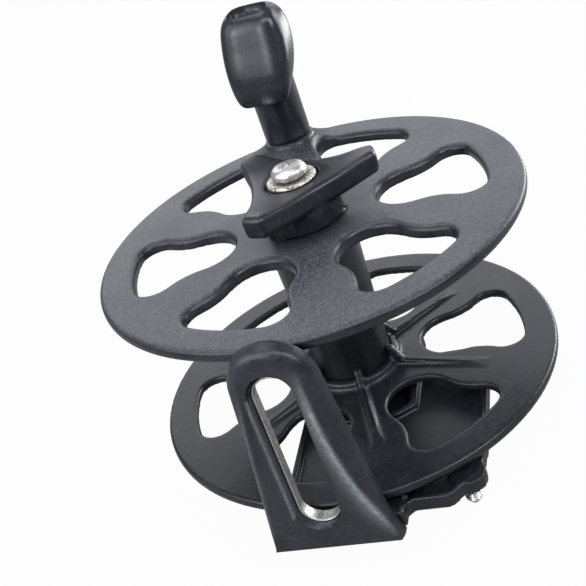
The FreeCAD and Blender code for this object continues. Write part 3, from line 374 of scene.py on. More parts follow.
def soft_moulding(node_name, piece_name, voxel, rounds):
    piece = merged_copy(node_name, piece_name)
    with_modifier(piece, "REMESH", mode="VOXEL", voxel_size=voxel)
    with_modifier(piece, "SMOOTH", factor=0.5, iterations=rounds)
    smooth_shaded(piece, 60)
    print(piece_name, len(piece.data.polygons), "faces")
    return piece


lower_flange = soft_moulding("bottom_flange", "lower_flange", 0.0005, 7)
base_tray = soft_moulding("base_frame", "base_tray", 0.0005, 3)
spool_drum = soft_moulding("drum", "spool_drum", 0.0004, 3)
upper_flange = soft_moulding("top_flange", "upper_flange", 0.0005, 4)

# %% [markdown]
# The ribs of the lower flange are tall at the collar and run out into the plate
# before the rim. They need not be modelled again: their points are held under a
# height that falls with the distance from the spindle.

# %% Ribs that run out into the plate
plate_thickness = 3.7
plate_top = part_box("bottom_flange")[0][2] * 1000 + plate_thickness
rib_start, rib_end, rib_height = 19, 45.0, 4.2
lowered = 0
for vertex in lower_flange.data.vertices:
    x, y, z = vertex.co * 1000
    reach = math.hypot(x, y)
    if reach > rib_start and z > plate_top:
        falling = max(0.0, (rib_end - reach) / (rib_end - rib_start)) ** 1.2
        room = rib_height * falling
        if z > plate_top + room:
            vertex.co.z = (plate_top + room) / 1000
            lowered += 1
print(lowered, "rib points lowered")

# %% [markdown]
# The window of the lower flange beside the line guide has a fuller outer corner.
# The points round it are drawn in, most at the corner and less further off, so
# the change leaves no edge.

# %% A fuller corner in the front window
corner_x, corner_y, corner_reach = -27.0, -45.3, 8.0
corner_pull_x, corner_pull_y = 0.0031, 0.0009
pulled = 0
for vertex in lower_flange.data.vertices:
    x, y, z = vertex.co * 1000
    near = 1 - ((x - corner_x) ** 2 + (y - corner_y) ** 2) / corner_reach**2
    if near > 0:
        vertex.co.x += corner_pull_x * near**2
        vertex.co.y += corner_pull_y * near**2
        pulled += 1
print(pulled, "points drawn in at the corner")

# %% [markdown]
# The crank boss does not stand on the top flange like a post. Its foot flares
# out over the spoke, as far as the edges of the windows. The flare is a height
# for each distance from the crank axis, and the points above it are left alone.

# %% Flare under the crank
joints = {joint["name"]: joint for joint in frame["record"]["behaviour"]["joints"]}
crank_x, crank_y = (value * 1000 for value in joints["grip_spin"]["pos_m"][:2])
boss_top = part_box("top_flange")[1][2] * 1000
flange_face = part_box("drag_washer")[0][2] * 1000
boss_radius, flare_radius = 8.7, 15.5
flare_top = boss_top - 1.0
lift_depth = 1.9
raised = 0
for vertex in upper_flange.data.vertices:
    x, y, z = vertex.co * 1000
    away = math.hypot(x - crank_x, y - crank_y)
    if boss_radius - 0.4 < away < flare_radius and z > flange_face - lift_depth:
        share = min(1.0, (flare_radius - away) / (flare_radius - boss_radius))
        flare = flange_face + (flare_top - flange_face) * share**1.4
        lift = min(1.0, (z - flange_face + lift_depth) / lift_depth)
        if flare > z:
            vertex.co.z += (flare - z) * lift / 1000
            raised += 1
print(raised, "points raised for the flare")

# %% [markdown]
# The flare meets the boss and the spoke in faint creases. A Smooth modifier can
# be held to part of a mesh by a vertex group, whose weights fade out towards its
# border, so only the foot of the boss is softened.

# %% Soft foot
foot_radius, foot_blend = 17, 4
foot = upper_flange.vertex_groups.new(name="boss_foot")
for vertex in upper_flange.data.vertices:
    x, y, z = vertex.co * 1000
    away = math.hypot(x - crank_x, y - crank_y)
    if away < foot_radius and flange_face - 2.5 < z < boss_top - 0.3:
        weight = min(1.0, (foot_radius - away) / foot_blend)
        foot.add([vertex.index], weight, "REPLACE")
with_modifier(upper_flange, "SMOOTH", factor=0.5, iterations=24, vertex_group=foot.name)
print("Foot of the boss softened")

# %% [markdown]
# Light from above is painted on the nylon where it looks up, and the walls of
# the windows stay black. The finish could read the normal itself, but a share
# kept for each point of the mesh stays with the piece when it turns.


# %% Painted light where it faces up
def clipped(value):
    """The value, never under 0 or over 1."""
    return max(0.0, min(1.0, value))


least_up, up_range, painted_shadow_edge = 0.72, 0.2, 0.009


def painted_light_above(piece, painted_shadow_radius=None):
    """Paints light where faces look up; near the spindle it leaves a painted shadow."""
    faded = piece.data.attributes.new("faded", "FLOAT", "POINT")
    for vertex, value in zip(piece.data.vertices, faded.data):
        share = clipped((vertex.normal.z - least_up) / up_range)
        if painted_shadow_radius is not None:
            share *= clipped((vertex.co.xy.length - painted_shadow_radius) / painted_shadow_edge)
        value.value = share
    piece.data.materials.clear()
    piece.data.materials.append(nylon_painted_light)
    print(piece.name, "takes", nylon_painted_light.name)


# Inside this radius no light is painted on the upper flange: a painted shadow of the
# knob.
painted_light_above(upper_flange, painted_shadow_radius=0.0125)

# %% [markdown]
# Most of the other shapes are a closed outline that changes along the way: a
# grip that swells, a screw head that domes over, an arch with a funnel in it.
# By hand that is an extrusion, a move and a scale, over and over. Here the
# outlines are worked out first, and one ring is extruded from each to the next.


# %% Grow a ring through outlines
def grown(name, outlines, capped=True, degrees=40):
    """Extrudes a ring through the outlines. Points are in millimetres."""
    count = len(outlines[0])
    bpy.ops.mesh.primitive_circle_add(vertices=count, radius=0.001)
    piece = bpy.context.active_object
    piece.name = piece.data.name = name
    for vertex, point in zip(piece.data.vertices, outlines[0]):
        vertex.co = Vector(point) / 1000
    bpy.ops.object.mode_set(mode="EDIT")
    bpy.ops.mesh.select_all(action="SELECT")
    if capped:
        bpy.ops.mesh.edge_face_add()
    for outline in outlines[1:]:
        bpy.ops.mesh.extrude_region_move()
        mesh = bmesh.from_edit_mesh(piece.data)
        mesh.verts.ensure_lookup_table()
        for vertex, point in zip(mesh.verts[-count:], outline):
            vertex.co = Vector(point) / 1000
        bmesh.update_edit_mesh(piece.data)
    bpy.ops.mesh.select_all(action="SELECT")
    bpy.ops.mesh.remove_doubles(threshold=same_place)
    bpy.ops.mesh.normals_make_consistent(inside=False)
    bpy.ops.object.mode_set(mode="OBJECT")
    smooth_shaded(piece, degrees)
    print(name, len(piece.data.polygons), "faces")
    return piece


def around(count):
    """Cosine and sine of even steps round a circle."""
    turns = [2 * math.pi * k / count for k in range(count)]
    return [(math.cos(turn), math.sin(turn)) for turn in turns]


def turned(name, profile, count=64, centre=(0, 0), degrees=35):
    """A turned piece: its profile is radius and height pairs in millimetres."""
    outlines = [
        [(centre[0] + r * c, centre[1] + r * s, h) for c, s in around(count)]
        for r, h in profile
    ]
    return grown(name, outlines, capped=profile[0] != profile[-1], degrees=degrees)


def dressed(piece, finish, body):
    """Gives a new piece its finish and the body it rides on."""
    piece.data.materials.clear()
    piece.data.materials.append(finish)
    print(piece.name, len(piece.data.polygons), "faces, takes", finish.name)
    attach(piece, body)


print("Helpers for new pieces ready")

# %% [markdown]
# A few heights with a value at each are easy to read and to change, and a cubic
# curve through them has no kinks, which would show at once in a reflection.


# %% A smooth value from a table
def along(table, height):
    """A smooth curve through a table of heights and values, read at a height."""
    height = max(table[0][0], min(table[-1][0], height))
    slopes = []
    for k in range(len(table)):
        before, after = table[max(k - 1, 0)], table[min(k + 1, len(table) - 1)]
        slopes.append((after[1] - before[1]) / (after[0] - before[0]))
    for k in range(len(table) - 1):
        (h0, v0), (h1, v1) = table[k], table[k + 1]
        if height <= h1:
            step = h1 - h0
            t = (height - h0) / step
            return (
                (2 * t**3 - 3 * t**2 + 1) * v0
                + (t**3 - 2 * t**2 + t) * step * slopes[k]
                + (3 * t**2 - 2 * t**3) * v1
                + (t**3 - t**2) * step * slopes[k + 1]
            )


print("Half way between 2 and 4:", along(((0, 2), (1, 4)), 0.5))

# %% [markdown]
# The line guide is a tall arch with a slot for the line. Both outlines have the
# same number of points in the same order, foot, right side, head and left side,
# so a ring can pass from one to the other without a twist.

# %% Outline of the arch
guide_low, guide_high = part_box("line_guide")
guide_left, guide_right = guide_low[0] * 1000, guide_high[0] * 1000
guide_back = guide_high[1] * 1000
guide_depth = guide_back - guide_low[1] * 1000
head_radius = 11.6
head_level = guide_high[2] * 1000 - head_radius
foot_steps, side_steps, head_steps = 26, 40, 44
flare_level = 9.0


def arch_outline(left, right, foot, radius, shift=0.0, flare=0.0):
    """Foot from left to right, up the right side, round the head, down the left."""
    points = []
    lean = math.atan2(abs(left) - radius, head_level)
    side_x = radius * math.cos(lean)
    side_z = head_level + radius * math.sin(lean)
    for k in range(foot_steps):
        points.append((left + (right - left) * k / foot_steps, foot))
    for k in range(side_steps):
        share = k / side_steps
        height = foot + (side_z - foot) * share
        straight = right - flare + (side_x + shift - right + flare) * share
        out = max(0.0, 1 - height / (flare_level * 1.3))
        points.append((straight + flare * out * out, height))
    for k in range(head_steps):
        angle = lean + (math.pi - 2 * lean) * k / head_steps
        across = shift * (1 - k / head_steps) + radius * math.cos(angle)
        points.append((across, head_level + radius * math.sin(angle)))
    for k in range(side_steps):
        share = 1 - k / side_steps
        height = foot + (side_z - foot) * share
        points.append((left + (-side_x - left) * share, height))
    return [(x, guide_back, z) for x, z in points]


edge = arch_outline(guide_left, guide_right, 0.0, head_radius, shift=0.7, flare=1.9)
print("The arch has", len(edge), "points and is", round(guide_depth, 2), "mm deep")

# %% [markdown]
# The slot is two half circles and two straight sides. A depth of 0 is the back
# of the guide, and it grows towards the front.

# %% Outline of the slot
slot_bottom, slot_top, slot_half = 14.8, 52.4, 5.75


def slot_outline(half, depth, low=slot_bottom, high=slot_top):
    """The slot, with as many points as the arch and in the same order."""
    points = []
    for k in range(foot_steps):
        angle = math.pi + math.pi * k / foot_steps
        points.append((half * math.cos(angle), low + half * math.sin(angle)))
    for k in range(side_steps):
        points.append((half, low + (high - low) * k / side_steps))
    for k in range(head_steps):
        angle = math.pi * k / head_steps
        points.append((half * math.cos(angle), high + half * math.sin(angle)))
    for k in range(side_steps):
        points.append((-half, high + (low - high) * k / side_steps))
    return [(x, guide_back - depth, z) for x, z in points]


def between(first, second, share, depth):
    """A blend of two outlines at a depth of its own."""
    return [
        (a[0] + (b[0] - a[0]) * share, guide_back - depth, a[2] + (b[2] - a[2]) * share)
        for a, b in zip(first, second)
    ]


throat = slot_outline(slot_half + 0.3, 0)
print("The slot has", len(throat), "points")

# %% [markdown]
# The front of the guide is a soft ridge: from its crest the face rounds away to
# the outer edge, and on the inside it falls in a funnel to the steel liner. The
# crest lies close to the funnel at the head and runs out to the corners of the
# foot, so each side has a table of its own.

# %% Crest of the guide
right_crest = (
    (0, 19.2), (5, 17.4), (12, 14.8), (20, 12.1), (27, 10.4), (35, 9.0), (45, 8.0),
    (60, 7.7),
)
left_crest = (
    (0, 16.2), (5, 15.7), (12, 14.9), (20, 13.9), (27, 13.0), (35, 12.0), (45, 10.6),
    (52, 9.5), (60, 8.6),
)
crest_left, crest_right = -16.4, 19.2
ridge = []
for k, (x, y, z) in enumerate(arch_outline(-16.2, 16.2, foot=0.8, radius=8.2)):
    if k < foot_steps:
        x = crest_left + (crest_right - crest_left) * k / foot_steps
    elif k < foot_steps + side_steps:
        x = along(right_crest, z)
    elif k >= foot_steps + side_steps + head_steps:
        x = -along(left_crest, z)
    ridge.append((x, y, z))
print("Crest at the foot, mm:", crest_left, "to", crest_right)

# %% [markdown]
# From the back edge to the crest the face is nearly flat at the foot and well
# rounded at the head. Two curves give those shapes, and a smooth step between
# two heights passes from the one to the other.

# %% From the back edge to the crest
rings = [
    between(edge, ridge, share, depth)
    for share, depth in ((0.3, 0.0), (0.08, 0.15), (0.0, 0.6), (0.03, 1.0))
]
face_steps = 9
round_from, round_over = 34, 20
for step in range(1, face_steps + 1):
    run = step / face_steps
    bevel = 1 - (1 - run) ** 1.5 * 0.8
    rounded = math.sin(math.acos(1 - run)) ** 0.8
    ring = []
    for x, y, z in between(edge, ridge, run, 0.0):
        share = clipped((z - round_from) / round_over)
        share = share * share * (3 - 2 * share)
        rise = bevel + (rounded - bevel) * share
        ring.append((x, guide_back - guide_depth * (0.18 + 0.82 * rise), z))
    rings.append(ring)
print(len(rings), "rings to the crest")

# %% [markdown]
# Inside the crest the funnel falls to the mouth of the slot. It is deeper on the
# right and under the head, and it runs out at the foot. Behind the mouth the
# wall goes to the back, and the first ring comes again to close the shell.


# %% Funnel and back
def funnel_depth(x, z):
    """Two shares of the funnel's depth: one across the guide, one up from its foot."""
    across = max(0.18, min(1.0, (x + 3) / 8), min(1.4, (z - 46) / 8))
    return across, min(1.0, max(0.2, z / 12))


mouth_shift = 1.05
mouth = [
    (x - mouth_shift, y, z)
    for x, y, z in slot_outline(slot_half + 0.6, 0, slot_bottom - 1.1, slot_top - 0.3)
]
for share in (0.1, 0.2, 0.32, 0.45, 0.6, 0.75, 0.9, 1.0):
    fall = 1.1 * share**1.4
    ring = []
    for x, y, z in between(ridge, mouth, share, guide_depth):
        across, up = funnel_depth(x, z)
        ring.append((x, y + fall * across * up, z))
    rings.append(ring)
rim = rings[-1]
for share, sink in ((0.12, 0.25), (0.3, 0.8)):
    rings.append([
        (x + (in_x - x) * share, y + sink, z + (in_z - z) * share)
        for (x, y, z), (in_x, _, in_z) in zip(rim, throat)
    ])
rings.append(between(mouth, throat, 0.8, 3.9))
rings.append(between(mouth, throat, 1.0, 3.4))
rings.append(slot_outline(slot_half + 0.2, 0.0))
rings.append(rings[0])
guide_column = grown("guide_column", rings, capped=False, degrees=50)

# %% [markdown]
# Line and sand have rubbed the crest to a dull silver, most on the right, and a
# highlight is painted along it with the wear. The band falls off softly towards
# the slot and sharply on the outside, and it fades out at the foot and the head.


# %% Rubbed crest and painted highlight
def bell(away, width):
    """1 in the middle, falling away on both sides."""
    return math.exp(-((away / width) ** 2))


def crest_wear_and_highlight(x, z):
    if x > 0:
        away = x - along(right_crest, z)
        if away < 0:
            return 0.55 * bell(away, 1.2) + 0.45 * bell(away, 3.6)
        return bell(away, 0.6)
    return 0.35 * bell(-x - along(left_crest, z), 0.5)


# Wear and a painted highlight, point by point along the crest.
wear_and_painted_highlight = guide_column.data.attributes.new("wear_and_painted_highlight", "FLOAT", "POINT")
for vertex, value in zip(guide_column.data.vertices, wear_and_painted_highlight.data):
    x, y, z = vertex.co * 1000
    worn_and_highlit = crest_wear_and_highlight(x, z) * (clipped((z - 2) / 10) * clipped((60 - z) / 14))
    # A thin highlight is painted down the left edge of the slot's mouth.
    if slot_bottom - 2 < z < slot_top and x < 0:
        worn_and_highlit = max(worn_and_highlit, 0.6 * bell(x + slot_half + 1.65, 0.4))
    on_front = (guide_back - y) / guide_depth - 0.7
    value.value = worn_and_highlit * clipped(on_front * 6)
dressed(guide_column, nylon_grained, "frame")
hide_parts("line_guide")

# %% [markdown]
# The liner is a strip of stainless steel bent round the slot and pressed in
# from behind. Its front lip is rolled, so the line never meets a sharp edge.
# Each pair is how far the strip lies outside the slot, and how far forward.

# %% Guide liner
lip = [
    slot_outline(slot_half + out, depth)
    for out, depth in (
        (0.2, 0.0), (0.2, 3.3), (0.15, 3.75), (-0.05, 3.95), (-0.3, 3.85),
        (-0.42, 3.5), (-0.36, 2.9), (-0.25, 2.2), (-0.25, 0.3), (-0.1, 0.0),
    )
]
lip.append(lip[0])
slot_liner = grown("slot_liner", lip, capped=False, degrees=60)
dressed(slot_liner, liner_steel, "frame")
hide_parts("guide_liner")

# %% [markdown]
# The crank grip is one moulding: a round stem, and a block for thumb and finger
# that is thick at the middle, runs down to a thin lip on its near side, and is
# rounded on every edge. Each outline is a rounded rectangle, and three tables
# say how wide it is and how far it reaches on its near and far side.

# %% Outlines of the grip
grip_low, grip_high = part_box("grip")
stem_low, grip_top = grip_low[2] * 1000, grip_high[2] * 1000
block_foot = stem_low + 15.6
crank, grip_turn = (crank_x, crank_y), math.radians(-7)
half_width = (
    (0, 6.9), (0.7, 7.9), (2, 8.8), (4.5, 9.7), (8, 10.6), (13, 11.3), (18, 11.3),
    (22, 10.8), (25, 10.0), (27, 8.9), (28.2, 7.8), (28.8, 6.6),
)
near_side = (
    (0, 9.9), (0.7, 10.6), (2, 11.1), (5, 11.4), (9, 11.0), (14, 9.5), (18, 8.1),
    (22, 6.8), (25, 5.7), (27, 4.3), (28.8, 2.0),
)
far_side = (
    (0, -8.6), (0.7, -7.6), (2, -6.4), (5, -2.6), (8, 1.4), (12, 5.0), (16, 7.3),
    (21, 8.8), (25, 8.6), (27, 7.6), (28.2, 6.6), (28.8, 5.6),
)


def on_grip(across, away, height):
    """A place on the grip: across it, away from the near side, and up from its foot."""
    return (
        crank_x + across * math.cos(grip_turn) - away * math.sin(grip_turn),
        crank_y + across * math.sin(grip_turn) + away * math.cos(grip_turn),
        block_foot + height,
    )


def bent(value, power):
    """The value to a power, with its own sign."""
    return math.copysign(abs(value) ** power, value)


def block_outline(height, count=72, power=3.4):
    wide = along(half_width, height)
    near, far = along(near_side, height), along(far_side, height)
    middle, deep = (near - far) / 2, (near + far) / 2
    points = []
    for c, s in around(count):
        across = wide * bent(c, 2 / power)
        away = -middle + deep * bent(s, 2 / power)
        points.append(on_grip(across, away, height))
    return points


print("The block of the grip is", round(grip_top - block_foot, 2), "mm tall")

# %% [markdown]
# Block and stem are grown apart, joined, and run together by a fine voxel
# remesh, which is how the two meet in the mould: without a seam.

# %% Block and stem
table_height = half_width[-1][0]
block_heights = [
    0, 0.25, 0.7, 1.3, 2, 3, 4, 5, 6.5, 8, 10, 12, 14, 16, 18, 20, 22, 23.5, 25, 26,
    27, 27.7, 28.2, 28.55, 28.8,
]
block_outlines = [
    block_outline(height * (grip_top - block_foot) / table_height)
    for height in block_heights
]
crank_grip = grown("crank_grip", block_outlines, degrees=60)
stem_radius = 7.75
stem = turned(
    "grip_stem",
    [
        (7.0, stem_low), (7.5, stem_low + 0.25), (stem_radius, stem_low + 0.9),
        (stem_radius, block_foot), (stem_radius - 0.1, block_foot + 12),
        (6.4, block_foot + 17), (3.0, block_foot + 18),
    ],
    centre=crank,
)
selected(crank_grip, stem)
bpy.ops.object.join()
with_modifier(crank_grip, "REMESH", mode="VOXEL", voxel_size=0.0003)
with_modifier(crank_grip, "SMOOTH", factor=0.5, iterations=24)
print("Block and stem in one,", len(crank_grip.data.polygons), "faces")

# %% [markdown]
# The grip is bored for its bolt from below. From above, a pocket leads down to a
# round well for the nut. Each hole is a shape of its own that the Boolean
# modifier takes away.


# %% Bore, well and pocket
def cut_away(piece, cutter):
    with_modifier(
        piece, "BOOLEAN", operation="DIFFERENCE", object=cutter, solver="EXACT"
    )
    bpy.data.objects.remove(cutter)


pocket_half, pocket_far, pocket_near = 6.8, 5.4, 3.3


def pocket_outline(size, height, count=48):
    """Wider than it is deep, and flatter on the near side."""
    points = []
    for c, s in around(count):
        across = pocket_half * size * bent(c, 0.85)
        away = size * (pocket_far * s if s > 0 else pocket_near * bent(s, 0.6))
        points.append(on_grip(across, away, height - block_foot))
    return points


bore_radius, well_radius = 3.74, 4.8
nut_low, nut_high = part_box("handle_nut")
nut_reach = (nut_high[0] - nut_low[0]) * 500 + 0.25
bore = turned(
    "grip_bore",
    [(bore_radius, stem_low - 1), (bore_radius, grip_top - 4)],
    centre=crank,
)
cut_away(crank_grip, bore)
well = turned(
    "grip_well",
    [
        (well_radius, grip_top - 8.0), (well_radius, grip_top - 7.0),
        (nut_reach, grip_top - 6.5), (nut_reach, grip_top - 3.4),
    ],
    centre=crank,
)
cut_away(crank_grip, well)
pocket = grown(
    "grip_pocket",
    [
        pocket_outline(0.80, grip_top - 3.8), pocket_outline(0.95, grip_top - 2.8),
        pocket_outline(1.03, grip_top + 1),
    ],
)
cut_away(crank_grip, pocket)
print("Room round the nut, mm:", round(nut_reach, 2))

# %% [markdown]
# Hands keep the grip smoother than the rest. One scuff is left at the foot of its
# near side, so its finish reads the same attribute as the guide's.

# %% Scuff on the grip
smooth_shaded(crank_grip, 45)
scuff_place, scuff_size, scuff_strength = Vector(on_grip(1.8, -10.6, 1.6)), 1.6, 0.8
wear_and_painted_highlight = crank_grip.data.attributes.new("wear_and_painted_highlight", "FLOAT", "POINT")
for vertex, value in zip(crank_grip.data.vertices, wear_and_painted_highlight.data):
    away = (vertex.co * 1000 - scuff_place).length
    value.value = scuff_strength * bell(away, scuff_size)
dressed(crank_grip, nylon_grip, "grip_body")
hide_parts("grip")

# %% [markdown]
# A soft black plug closes the pocket over the end of the bolt. It is highest in
# the middle, over the bolt, and it is thin, so it has an inside as well. Each
# pair is the size of an outline and how far it lies under the highest point.

# %% Plug of the grip
plug_high = grip_top - 1.2
grip_plug = grown(
    "grip_plug",
    [
        pocket_outline(size, plug_high - drop)
        for size, drop in (
            (0.80, 2.8), (0.86, 2.7), (0.88, 2.2), (0.84, 1.9), (0.62, 1.3),
            (0.48, 0.3), (0.40, 0.0), (0.10, 0.0), (0.10, 0.3), (0.38, 0.35),
            (0.44, 0.9), (0.58, 1.7), (0.76, 2.3), (0.80, 2.8),
        )
    ],
    capped=False,
    degrees=60,
)
dressed(grip_plug, soft_black, "grip_body")

# %% [markdown]
# The star knob has three thick lobes with blunt ends, which lift a little. In
# plan each lobe is a blunt arc and each flank slightly hollow. The smaller reach
# of the two wins, and a smooth minimum rounds the corner where they cross.

# %% Plan of the star knob
knob_angle = 13.0
tip_reach, tip_half, waist = 25.4, 4.8, 12.6
tip_corner = 4.6
lobe_count = 96
third = math.radians(60)


def lobe_edge():
    """The plan of the knob: blunt lobes joined by nearly straight flanks."""
    heart = tip_reach - tip_half
    far = (heart**2 - (tip_half - waist) ** 2) / (heart + 2 * (tip_half - waist))
    flank = far - waist
    points = []
    for lobe in range(3):
        for k in range(lobe_count):
            share = 2 * k / lobe_count - 1
            turn = third * bent(share, 1.7)
            reach = tip_reach * math.cos(turn * 0.6)
            off = third - abs(turn)
            inside = flank**2 - (far * math.sin(off)) ** 2
            if inside > 0:
                hollow = far * math.cos(off) - math.sqrt(inside)
                mix = clipped(0.5 + 0.5 * (hollow - reach) / tip_corner)
                reach = hollow + (reach - hollow) * mix - tip_corner * mix * (1 - mix)
            angle = math.radians(knob_angle + 120 * lobe) + turn
            points.append((reach * math.cos(angle), reach * math.sin(angle)))
    return points


knob_edge = lobe_edge()
print("The knob's plan has", len(knob_edge), "points")

# %% [markdown]
# The knob is one closed ring, grown through outlines of two kinds: the plan,
# moved in, and a circle with as many points. A table gives the plan its height,
# because the lobes lift towards the tips.

# %% Rings of the star knob
top_of_knob = (
    (0, 76.6), (11, 76.6), (14, 76.8), (16, 77.05), (18, 77.4), (20, 77.8),
    (22, 78.15), (24, 78.4), (26, 78.5),
)


def knob_ring(inset, drop, least=0.0):
    """The plan moved in by an inset, at a depth under the top surface."""
    ring = []
    for k, (x, y) in enumerate(knob_edge):
        (x0, y0), (x1, y1) = knob_edge[k - 1], knob_edge[(k + 1) % len(knob_edge)]
        length = math.hypot(x1 - x0, y1 - y0)
        x, y = x - inset * (y1 - y0) / length, y + inset * (x1 - x0) / length
        reach = math.hypot(x, y)
        grow = max(1.0, least / reach)
        ring.append((x * grow, y * grow, along(top_of_knob, reach * grow) - drop))
    return ring


def round_rings(*sizes):
    """Circles with a point for each of the plan, from pairs of radius and height."""
    turns = [math.atan2(y, x) for x, y in knob_edge]
    return [
        [(radius * math.cos(a), radius * math.sin(a), height) for a in turns]
        for radius, height in sizes
    ]


print("Knob's top, mm:", top_of_knob[0][1], "in the middle,", top_of_knob[-1][1])

# %% [markdown]
# The ring starts at the brass insert, goes down and up the skirt that covers the
# drag washers, and out along the underside of the lobes, which thicken as they
# leave the skirt.

# %% Skirt and underside
knob_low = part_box("star_knob")[0][2] * 1000
insert_radius, insert_top = (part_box("knob_insert")[1][k] * 1000 for k in (0, 2))
skirt_radius, skirt_low, skirt_wall = 12.2, knob_low - 2.3, 10.4
skirt_top, lobe_root = 68.6, 69.0
outlines = round_rings(
    (insert_radius, knob_low), (skirt_wall, knob_low), (skirt_wall, skirt_low),
    (skirt_radius - 0.5, skirt_low), (skirt_radius - 0.1, skirt_low + 0.2),
    (skirt_radius, skirt_low + 0.6), (skirt_radius, skirt_top),
)
root = round_rings((skirt_radius, lobe_root))[0]
under = [
    knob_ring(inset, drop, skirt_radius)
    for inset, drop in ((1.3, 6.9), (0.7, 6.5), (0.25, 5.8))
]
for share in (0.12, 0.4, 0.75):
    blend = []
    for (x, y, z), (ux, uy, uz) in zip(root, under[0]):
        rise = (uz - z) * share**0.8
        blend.append((x + (ux - x) * share, y + (uy - y) * share, z + rise))
    outlines.append(blend)
outlines += under
print(len(outlines), "rings under the knob")

# %% [markdown]
# From there the ring goes round the edge in a quarter circle, over the top to
# the seat of the washer, and down the middle to where it began.

# %% Edge, top and seat
washer_play = 1.23
knob_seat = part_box("knob_washer")[0][2] * 1000 - washer_play
seat_wall, seat_floor = 8.9, 5.9
edge_round, edge_steps = 2.0, 8
outlines.append(knob_ring(0.05, 5.0, skirt_radius))
outlines += [knob_ring(0.0, 3.4), knob_ring(0.0, 1.9)]
for k in range(1, edge_steps + 1):
    angle = math.radians(90 * k / edge_steps)
    inset = edge_round * (1 - math.cos(angle))
    outlines.append(knob_ring(inset, edge_round * (1 - math.sin(angle))))
rim_in, wall = outlines[-1], round_rings((seat_wall, 0.0))[0]
for share in (0.25, 0.5, 0.75, 1.0):
    blend = []
    for (x, y, _), (cx, cy, _) in zip(rim_in, wall):
        bx, by = x + (cx - x) * share, y + (cy - y) * share
        blend.append((bx, by, along(top_of_knob, math.hypot(bx, by))))
    outlines.append(blend)
outlines += round_rings(
    (8.5, 76.5), (8.3, 76.2), (8.2, knob_seat), (seat_floor, knob_seat),
    (seat_floor, insert_top), (insert_radius, insert_top), (insert_radius, knob_low),
)
drag_knob = grown("drag_knob", outlines, capped=False, degrees=45)
dressed(drag_knob, nylon_painted_light, "knob")
# Light is painted on the knob where its faces look up.
painted_light_above(drag_knob)
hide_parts("star_knob")

# %% [markdown]
# The pan-head screw on the knob is the brightest thing on the reel. Its head is
# turned from a profile, given as how far each point lies inside the head's
# radius and over its seat.

# %% Knob screw
screw_low, screw_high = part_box("knob_screw")
shank_end, head_top = screw_low[2] * 1000, screw_high[2] * 1000
screw_radius = screw_high[0] * 1000 + 0.3
head_seat = head_top - 3.0
head_profile = [
    (screw_radius - inside, head_seat + over)
    for inside, over in (
        (0.35, 0.0), (0.05, 0.2), (0.0, 0.6), (0.08, 1.2), (0.3, 1.8), (0.7, 2.3),
        (1.3, 2.68), (2.2, 2.9), (3.6, 2.98),
    )
]
knob_screw = turned(
    "knob_screw_head",
    [(1.9, shank_end), (2.45, shank_end + 0.6), (2.45, head_seat)]
    + head_profile
    + [(0.4, head_seat + 3.0)],
    degrees=50,
)

# %% [markdown]
# A small worn cross is cut into the head by two thin blades with soft edges.

# %% Cross in the screw
blade_size = (0.0046, 0.0009, 0.0022)
for turn in (25, 115):
    bpy.ops.mesh.primitive_cube_add(size=1.0, location=(0, 0, head_top / 1000))
    blade = bpy.context.active_object
    blade.scale = blade_size
    blade.rotation_euler = (0, 0, math.radians(turn))
    bpy.ops.object.transform_apply(location=True, rotation=True, scale=True)
    with_modifier(blade, "BEVEL", width=0.00035, segments=2, limit_method="ANGLE")
    cut_away(knob_screw, blade)
smooth_shaded(knob_screw, 45)
dressed(knob_screw, stainless, "frame")
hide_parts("knob_screw")

# %% [markdown]
# Two washers lie under the screw: a wide flat one, stamped, with a rounded upper
# edge and a ring pressed into it by the screw, and a small browned lock washer.
# Both are turned from a closed profile.

# %% Washers under the screw
washer_low, washer_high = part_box("knob_washer")
seat, top = washer_low[2] * 1000, washer_high[2] * 1000
flat_washer = turned(
    "knob_flat_washer",
    [
        (2.65, seat), (7.2, seat), (7.5, seat + 0.25), (7.55, seat + 0.6),
        (7.45, seat + 0.95), (7.15, top), (5.2, top), (4.9, top - 0.12),
        (2.8, top - 0.05), (2.65, top - 0.2), (2.65, seat),
    ],
    degrees=60,
)
dressed(flat_washer, steel_mottled, "frame")
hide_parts("knob_washer")
lock_low, lock_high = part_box("lock_washer")
low, high = lock_low[2] * 1000, lock_high[2] * 1000
spring_washer = turned(
    "knob_spring_washer",
    [
        (2.7, low), (4.15, low), (4.3, low + 0.15), (4.3, high - 0.15), (4.15, high),
        (2.7, high), (2.7, low),
    ],
    degrees=60,
)
dressed(spring_washer, steel_brown, "frame")
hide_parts("lock_washer")

# %% [markdown]
# The two studs that bolt the reel down have a real thread. Each ring of the
# stud is round, and its radius follows a helix, so the thread has no seam.


# %% A threaded bar
def threaded(name, centre, radius, low, high, tip, pitch=0.8, depth=0.42, count=40):
    """A bar with a thread, which tapers over the length of its tip."""
    rings = []
    steps = round((high - low) / pitch * 10)
    for k in range(steps + 1):
        height = low + (high - low) * k / steps
        point = min(1.0, 0.28 + 0.72 * (height - low) / tip)
        ring = []
        for j in range(count):
            share = j / count
            phase = (height / pitch - share) % 1.0
            groove = depth * abs(2 * phase - 1)
            r = max(0.35, (radius - groove) * point)
            angle = 2 * math.pi * share
            x, y = centre[0] + r * math.cos(angle), centre[1] + r * math.sin(angle)
            ring.append((x, y, height))
        rings.append(ring)
    return grown(name, rings, degrees=35)


print("Thread helper ready")

# %% [markdown]
# Each stud is a bar with a low round head. The four pieces are joined, because
# one CAD node stands for both studs.

